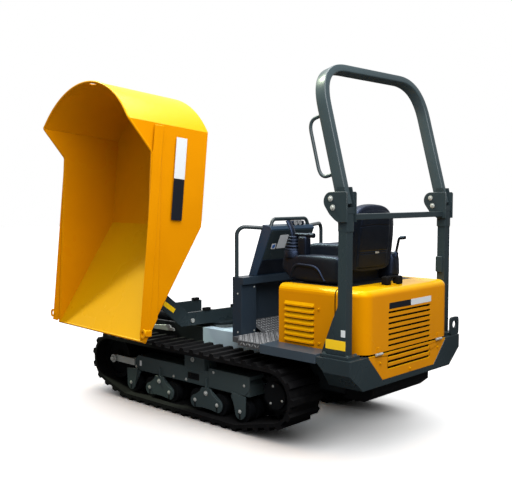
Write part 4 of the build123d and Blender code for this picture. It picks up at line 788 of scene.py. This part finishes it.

# %% [markdown]
# The gaps between the rollers show no daylight, so a black plate closes each track on its inner side: painted shade,
# standing for the dark inside the track. It is one plate with the outline of the belt: two arcs joined by straight
# runs. A plate with four sockets and a blank label sit on the frame.

# %% Inner shade plates, socket plate and label
outline = np.concatenate([arc(IDLER, 165, -70, 90, 17), arc(SPROCKET, 166, 90, 252, 17),
                          [[-572, 46.5], [636, 46.5]]])
# Painted shade: a black plate inside each track, for the dark between the rollers.
add_piece("track_inner_shade_plates", mirrored(upright(slab(outline, 6), 352)), coat_black)
SOCKETS, SOCKET_PLATE_T = [(-112, 296), (-82, 296), (-52, 296), (-82, 278)], 5
socket = lathe([(8, 0), (8, 3), (5, 3), (4.5, 0.6)], 16)
sockets = copies(socket, [[x, FRAME_Y + SOCKET_PLATE_T, z] for x, z in SOCKETS], FACING["left"])
backing = upright(moved(slab(rounded(118, 46, 4), SOCKET_PLATE_T, 1), [-82, 287, 0]), FRAME_Y)
add_piece("track_socket_plate", mirrored(together(backing, sockets)), coat_black)
step = slab([(388, 530), (640, 522), (640, 556), (440, 574), (430, 558), (388, 552)], 12, 2)
add_piece("frame_flat_bars", mirrored(upright(step, 344)), galvanised)
add_piece("track_blank_label", upright(moved(film(24, 42), [536, 288, 0]), FRAME_Y), film_white)

# %% [markdown]
# ## Platform and side panel
# The foot plate is rolled tread plate, and a sloping toe board of the same sheet closes the footwell. The raised bars
# lie in turned directions, 26 mm apart. Each bar is a half ellipsoid, and the whole sheet is one array of copies, cut
# off where the corner is chamfered.

# %% Tread bars
PITCH, DECK_TOP, DECK_SIDE, DECK_EDGE_Z = 26.0, 629.6, 644.6, 612.0


def bar_shape(half=(13.0, 3.6, 2.2), rows=4, columns=10):
    """Half ellipsoid: length, width and height times the cosines and sines of two angles."""
    v = np.linspace(0, np.pi / 2 - 0.15, rows)[:, None]
    u = np.linspace(0, 2 * np.pi, columns, endpoint=False)[None]
    return skin(np.stack([half[0] * np.cos(v) * np.cos(u), half[1] * np.cos(v) * np.sin(u),
                          half[2] * np.sin(v) + 0 * u], -1))


def chequer(a, b, height, keep=True):
    """The kept places (a, b, height) of a grid, split like the two colours of a chequer board."""
    odd = np.indices(a.shape).sum(0) % 2 == 1
    return [np.stack([a[pick], b[pick], np.full(pick.sum(), height)], -1) for pick in (keep & odd, keep & ~odd)]


def bars_at(two_lists, facing=None):
    """Bars turned one way at the first places and the other way at the second."""
    points, groups = bar_shape()
    tilted = [(points @ turn("z", angle).T, groups) for angle in (np.pi / 4, -np.pi / 4)]
    return together(*[copies(bar, places, facing) for bar, places in zip(tilted, two_lists)])


x, y = np.meshgrid(np.arange(-794, -494, PITCH), np.arange(-630, 631, PITCH), indexing="ij")
inside = (x + 545) * 70 + (np.abs(y) - 575) * 67 < -1000
top_bars = bars_at(chequer(x, y, DECK_TOP, inside))
edge_x = np.arange(-796, -616, PITCH)
edge = np.stack([edge_x, np.full(len(edge_x), DECK_SIDE), np.full(len(edge_x), DECK_EDGE_Z)], -1)
step = np.linspace(0.1, 0.9, 4)[:, None]
corner = (1 - step) * [-612, 645, DECK_EDGE_Z] + step * [-545, 575, DECK_EDGE_Z]
corner_facing = turn("z", np.arctan2(0.6947, 0.7193) - np.pi / 2) @ FACING["left"]
side_bars = together(bars_at((edge[::2], edge[1::2]), FACING["left"]),
                     bars_at((corner[::2], corner[1::2]), corner_facing))
add_piece("tread_bars", together(top_bars, mirrored(side_bars)), bar_aluminium)

# %% Toe board
on_toe = leaning_face([-558.0, 0.0, 629.0], [0.887, 0.0, 0.462], [-0.462, 0.0, 0.887])
TOE_HALF, TOE_LONG, TOE_T = 336, 160, 4
sheet = slab([(-TOE_HALF, 0), (TOE_HALF, 0), (TOE_HALF, TOE_LONG), (-TOE_HALF, TOE_LONG)], TOE_T, 1)
add_piece("toe_board", sheet, tread_aluminium, place=on_toe)
across, upward = np.meshgrid(np.arange(-324, 325, PITCH), np.arange(12, 156, PITCH), indexing="ij")
toe_bars = bars_at(chequer(across, upward, TOE_T - 0.4))
add_piece("toe_bars", toe_bars, bar_aluminium, place=on_toe)

# %% [markdown]
# The pressed louvres of the engine panel are eyebrows: they leave the sheet at the top, swell out to a lip and stop
# short, with a black strip below each as painted shade for the dark gap. Each is a quarter wave over its height, faded
# out at both ends by a twelfth power.

# %% Louvres and the painted shade under them
LOUVRE_X, LOUVRE_LOW, LOUVRE_STEP, LOUVRE_COUNT, PANEL_Y = (-1143.0, -894.0), 651.0, 39.0, 7, 490


def louvre_shape(rows=17, columns=57, reach=12.5, tall=20, wall=1.6):
    """Eyebrow over length and height: out = reach times the sine of a quarter turn times the end fade."""
    t, s = np.meshgrid(np.linspace(0, 1, rows), np.linspace(-1, 1, columns), indexing="ij")
    middle, half = np.mean(LOUVRE_X), (LOUVRE_X[1] - LOUVRE_X[0]) / 2
    fade = (1 - np.abs(s) ** 12) ** 0.5
    out = reach * np.sin(t * np.pi / 2) * fade
    z = LOUVRE_LOW + tall * (1 - t) - 1.5 * (1 - fade) + 6 * (1 - fade) * t
    return walled(np.stack([middle + half * s, PANEL_Y + 0.2 + out, z], -1), [0, -wall, 0])


rises = [[0, 0, LOUVRE_STEP * k] for k in range(LOUVRE_COUNT)]
add_piece("louvres", mirrored(copies(louvre_shape(), rises)), enamel_yellow, crease=50)
# Painted shade: a thin black strip under each louvre stands for the dark of its gap.
shade_strip = moved(slab(rounded(240, 8, 4), 0.9, 0.3), [-1019, 648, 0])
shade_strips = copies(upright(shade_strip, PANEL_Y), rises)
add_piece("louvre_painted_shade", mirrored(shade_strips), coat_black)
panel_bolts = copies(bolt(13), [[-1177, PANEL_Y, 880], [-1181, PANEL_Y, 663]], FACING["left"])
add_piece("panel_bolts", mirrored(panel_bolts), enamel_yellow)

# %% [markdown]
# ## Roll bar fittings
# Thick clevis plates carry the folding hoop: a round nose to the front, a straight back. Each plate is an outline of
# an arc and straight runs, thickened. A sleeve stiffens the post below it, and a gusset plate spreads the load at
# the foot.

# %% Clevis plates, sleeves and gussets
GUSSET_Y, GUSSET_T = 597, 5
CLEVIS_OUT, CLEVIS_IN = (609, 9), (527, 8)
clevis = np.concatenate([[[-1486, 1440], [-1420, 1437], [-1392, 1453], [-1354, 1485]],
                         arc((-1366, 1563), 56, -38, 92, 18), [[-1478, 1620], [-1486, 1612]]])
plates = together(upright(slab(clevis, CLEVIS_OUT[1], 2), CLEVIS_OUT[0]),
                  upright(slab(clevis, CLEVIS_IN[1], 2), CLEVIS_IN[0], -1))
sleeve = moved(slab(rounded(70, 70, 5), 106, 2), [-1442, 568, 1383])
outline = [(-1474, 639), (-1290, 639), (-1297, 664), (-1370, 844), (-1409, 930), (-1411, 960), (-1411, 1386),
           (-1473, 1386)]
gusset = upright(slab(outline, GUSSET_T, 1.5), GUSSET_Y)
add_piece("rops_plates", mirrored(together(plates, sleeve, gusset)), coat_anthracite)
latch_box = moved(slab(rounded(50, 72, 4), 108, 2), [-1432, -562, 1062])
add_piece("rops_latch_box", latch_box, coat_anthracite)

# %% Bolts of the roll bar
CLEVIS_BOLTS = ((-1364, 1579), (-1381, 1525))
outer_y, inner_y = sum(CLEVIS_OUT), CLEVIS_IN[0] - CLEVIS_IN[1]
heads = together(copies(bolt(18), [[x, outer_y, z] for x, z in CLEVIS_BOLTS], FACING["left"]),
                 copies(bolt(18), [[x, inner_y, z] for x, z in CLEVIS_BOLTS], FACING["right"]))
clevis_bolts = add_piece("rops_clevis_bolts", mirrored(heads), zinc_plate)
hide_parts("rops_bolts")
base_bolts = copies(bolt(15), [[-1318, 612, 638], [-1492, 612, 638], [-1490, 528, 638]])
add_piece("rops_base_bolts", mirrored(base_bolts), coat_track)

# %% [markdown]
# The folding hoop is one bent box tube, deeper than it is wide. A profile carried along a route gives it: two
# straight legs and a top bar, with wide bends between them. A round grab bar is welded to the front of the left
# leg, and a lug at each foot takes the pivot bolt. Hoop and bar lie in the hoop's own leaning axes, so that the
# lean is one number.

# %% Folding hoop, its lugs and grab bar
HOOP_LEAN, HOOP_Y, HOOP_TOP, HOOP_BEND = np.radians(14.9), 566, 814, 262
lean_s, lean_c = np.sin(HOOP_LEAN), np.cos(HOOP_LEAN)
on_hoop = leaning_face([-1416.0, 0.0, 1599.0], [lean_s, 0, lean_c], [lean_c, 0, -lean_s])
legs = [[HOOP_Y, -62, 0], [HOOP_Y, HOOP_TOP, 0], [-HOOP_Y, HOOP_TOP, 0], [-HOOP_Y, -62, 0]]
tube = along(bent(legs, HOOP_BEND, 25), rounded(48, 80, 8))
hoop = add_piece("rops_hoop_tube", tube, coat_hoop, body="rops_upper", place=on_hoop)
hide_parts("rops_hoop")
lug = upright(slab([(-1454, 1541), (-1398, 1541), (-1374, 1565), (-1393, 1589), (-1430, 1613)], 58, 2), 539)
add_piece("rops_hoop_lugs", mirrored(lug), coat_hoop, body="rops_upper")
route = bent([[HOOP_Y, 140, 20], [HOOP_Y, 140, 138], [HOOP_Y, 508, 138], [HOOP_Y, 508, 20]], 75, 11)
grab = add_piece("grab_bar", along(route, circle(11, 16), (1, 0, 0)), coat_hoop, body="rops_upper", place=on_hoop)
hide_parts("grab_handle")

# %% Blank labels on the gusset
LABEL_Y = GUSSET_Y + GUSSET_T
yellow, white = moved(film(150, 58), [-1396, 699, 0]), moved(film(32, 42), [-1453, 773, 0])
add_piece("gusset_yellow_label", upright(yellow, LABEL_Y), film_yellow)
add_piece("gusset_white_label", upright(white, LABEL_Y), film_white)

# %% [markdown]
# ## Control pod
# The pod's rear face leans towards the operator. A dark panel covers it, with a blank plate, a blank blue-and-white
# label and a small instrument housing on top. Its own axes run sideways, up the slope and out of the face.

# %% Pod panel and plates
on_pod = leaning_face([-492.0, 0.0, 1030.0], [-0.4072, 0.0, 0.9133], [-0.9133, 0.0, -0.4072])
PANEL_T = 3
POD_PIECES = (
    ("pod_panel", slab(rounded(452, 226, 14), PANEL_T, 1.0), (112, 242, 0), coat_anthracite),
    ("pod_apron", slab(rounded(452, 112, 10), 2.0, 0.8), (112, 66, 0), console_plastic),
    ("pod_blank_plate", slab(rounded(90, 104, 5), 1.4, 0.4), (188, 266, PANEL_T), film_white),
    ("pod_tag", slab(rounded(46, 42, 5), 1.0, 0.3), (268, 232, PANEL_T), film_white),
    ("pod_tag_disc", lathe([(15, 0), (15, 0.7), (14.6, 1.0)], 32), (268, 232, PANEL_T + 1), film_blue),
    ("pod_yellow_mark", slab([(-11, -11), (11, -11), (0, 12)], 1.0, 0.3), (126, 256, PANEL_T), film_yellow),
)
for name, shape, shift, finish in POD_PIECES:
    add_piece(name, moved(shape, shift), finish, place=on_pod)

# %% Instruments, switches and bolts
housing = moved(soft_box((30, 72, 17), (0.4, 0.35), 25, 64), [-596, 40, 1400])
add_piece("instrument_housing", housing, console_plastic)
dial = lathe([(19, 0), (19, 3), (16.5, 4), (16, 2)], 32)
dials = copies(dial, [[-625, 72, 1402], [-625, 26, 1402]], FACING["rear"])
add_piece("instrument_dials", dials, bar_aluminium)
rockers = copies(slab(rounded(16, 26, 3), 5, 2), [[y, 150, PANEL_T] for y in (30, 60, 90)])
add_piece("rocker_switches", rockers, seal_rubber, place=on_pod)
wall_bolts = copies(bolt(7), [[-490, 360, 645], [-490, 360, 955]], FACING["rear"])
side_bolts = copies(bolt(7), [[-456, 490, 645], [-456, 490, 915]], FACING["left"])
add_piece("wall_bolts", mirrored(together(wall_bolts, side_bolts)), zinc_plate)

# %% [markdown]
# ## Rear hood and skip
# The hood and the skip each carry a two-tone sign field. Lettering and badges are left off, so the fields are blank
# films. Behind the hood's slots stands the radiator: a sheet of fins, folded as a fine wave across its width.

# %% Hood sign, radiator, latch
for name, finish, middle in (("hood_sign_dark", film_black, 118), ("hood_sign_light", film_white, -130)):
    field = copies(film(39, 247, 1.5), [[REAR_X, middle, 910.5]], FACING["rear"])
    add_piece(name, field, finish, body="hood")


def radiator_shape(columns=361):
    """Core seen through the slots: depth is a triangle wave of 8 mm across the width, one face of a closed slab."""
    y = np.linspace(-300, 300, columns)
    wave = -1492 + 5 * np.abs((y / 8) % 2 - 1)
    loop = np.concatenate([np.stack([wave, y], -1), [[-1470, 300], [-1470, -300]]])
    return skin(np.stack([np.column_stack([loop, np.full(len(loop), z)]) for z in (470, 900)]))


add_piece("radiator_core", radiator_shape(), coat_black, crease=20)
legs = copies(soft_box((26, 24, 30), (0.4, 0.35), 25, 48), [[-1408, 84, 1046], [-1432, -12, 1046]])
bridge = bent([[-1404, 92, 1066], [-1408, 84, 1068], [-1432, -12, 1068], [-1434, -20, 1066]], 6)
add_piece("hood_latch", together(legs, along(bridge, circle(9, 12))), seal_rubber, body="hood")
tongue = moved(slab(rounded(22, 46, 4), 6, 1.5), [-1424, 36, 1020])
add_piece("hood_latch_tongue", tongue, enamel_yellow, body="hood")
grille_bolts = copies(bolt(13), [[-1536, 333, 566], [-1536, -350, 570], [-1536, -8, 478]], FACING["rear"])
add_piece("grille_bolts", grille_bolts, enamel_yellow)

# %% [markdown]
# The hood swings on two rolled hinges, turned here as a profile with grooves between the knuckles. The tie-down
# eye is a cut plate with a hole: a soft square outline and a circle of equal count, joined in a ring. That needs
# no Boolean. Cheeks close the bumper's ends.

# %% Hinge knuckles, tie-down eye and bumper cheeks
knuckle = lathe([(7.5, -35), (8, -34), (8, -12), (6, -11.5), (6, -11), (8, -10.5),
                 (8, 10.5), (6, 11), (6, 11.5), (8, 12), (8, 34), (7.5, 35)], 24)
knuckles = copies(knuckle, [[-1545, 355, 626], [-1545, -355, 626]], FACING["left"])
knuckles = add_piece("hinge_knuckles", knuckles, zinc_plate)
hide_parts("hood_hinges")


def eye_plate(outer, hole, thickness):
    """Plate with a hole: outline and hole as loops of equal count, front and back, closed round in a ring."""
    loops = [(outer, 0), (outer, thickness), (hole, thickness), (hole, 0), (outer, 0)]
    points = np.stack([np.column_stack([loop, np.full(len(loop), z)]) for loop, z in loops])
    return points.reshape(-1, 3), [grid_faces(len(loops), len(outer))]


eye = eye_plate(power(circle(1.0, 48), 0.35) * [56, 64], circle(27, 48) + [2, 12], 14)
turned = np.stack([-1520 - eye[0][:, 2], -586 + eye[0][:, 0], 683 + eye[0][:, 1]], -1)
tie = add_piece("tie_down_eye", (turned, eye[1]), coat_anthracite)
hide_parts("tie_down")
cheek = upright(slab([(-1345, 535), (-1329, 535), (-1277, 582), (-1277, 619), (-1345, 619)], 78, 3), 565)
add_piece("bumper_cheeks", mirrored(cheek), coat_anthracite)

# %% [markdown]
# The skip's sides carry a folded channel under the rim. A rolled edge runs round the mouth: a thin tube along one
# route, up a side, over the curved back and down the other side, and another along the pouring lip. A lifting ear
# with a ring is welded to each end of the lip.

# %% Skip sign and rim channel
SKIP_Y = 585
for name, finish, middle in (("skip_sign_dark", film_black, -168), ("skip_sign_light", film_white, -446)):
    field = moved(film(276, 88, 1.5), [middle, 230, 0])
    add_piece(name, upright(field, SKIP_Y), finish, body="skip", place=on_skip)
strip = upright(slab([(-640, 388), (740, 388), (784, 420), (772, 458), (-458, 458), (-640, 458)], 6, 2.5), SKIP_Y)
add_piece("skip_rim_channel", mirrored(strip), enamel_yellow, body="skip", place=on_skip)

# %% Rolled edge round the skip's mouth
ROUND_R, ROUND_X, SHOULDER, MOUTH_Z = 708.06, -234.94, 126.4, 652
curve = arc((ROUND_X, 0), ROUND_R - 3, SHOULDER, 360 - SHOULDER, 33)[1:-1]
over = np.column_stack([curve, np.full(len(curve), MOUTH_Z)])
side = np.array([[786, 577, 405], [-462, 577, 460], [-655, 570, MOUTH_Z]])
edge = bent(np.concatenate([side, over, (side * [1, -1, 1])[::-1]]), 14)
lip = np.array([[788, -578, 408], [788, 0, 408], [788, 578, 408]])
roll = together(along(edge, circle(8, 12)), along(lip, circle(8, 12)))
add_piece("skip_rolled_edge", roll, enamel_yellow, body="skip", place=on_skip)

# %% Ears at the lip
ring = moved(eye_plate(circle(30, 32), circle(17, 32), 10), [726, 608, 446])
lug = moved(upright(slab(rounded(44, 74, 8), 20, 5), 0), [728, 584, 412])
ears = add_piece("lip_ears", mirrored(together(ring, lug)), enamel_yellow, body="skip", place=on_skip)
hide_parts("lip_eyes")

# %% Blank label on the cradle
points, groups = film(112, 34, 2)
label = (points @ turn("z", np.radians(36)).T + [660, 789, 0], groups)
add_piece("cradle_blank_label", upright(label, 255), film_yellow, body="swivel", place=on_cradle)
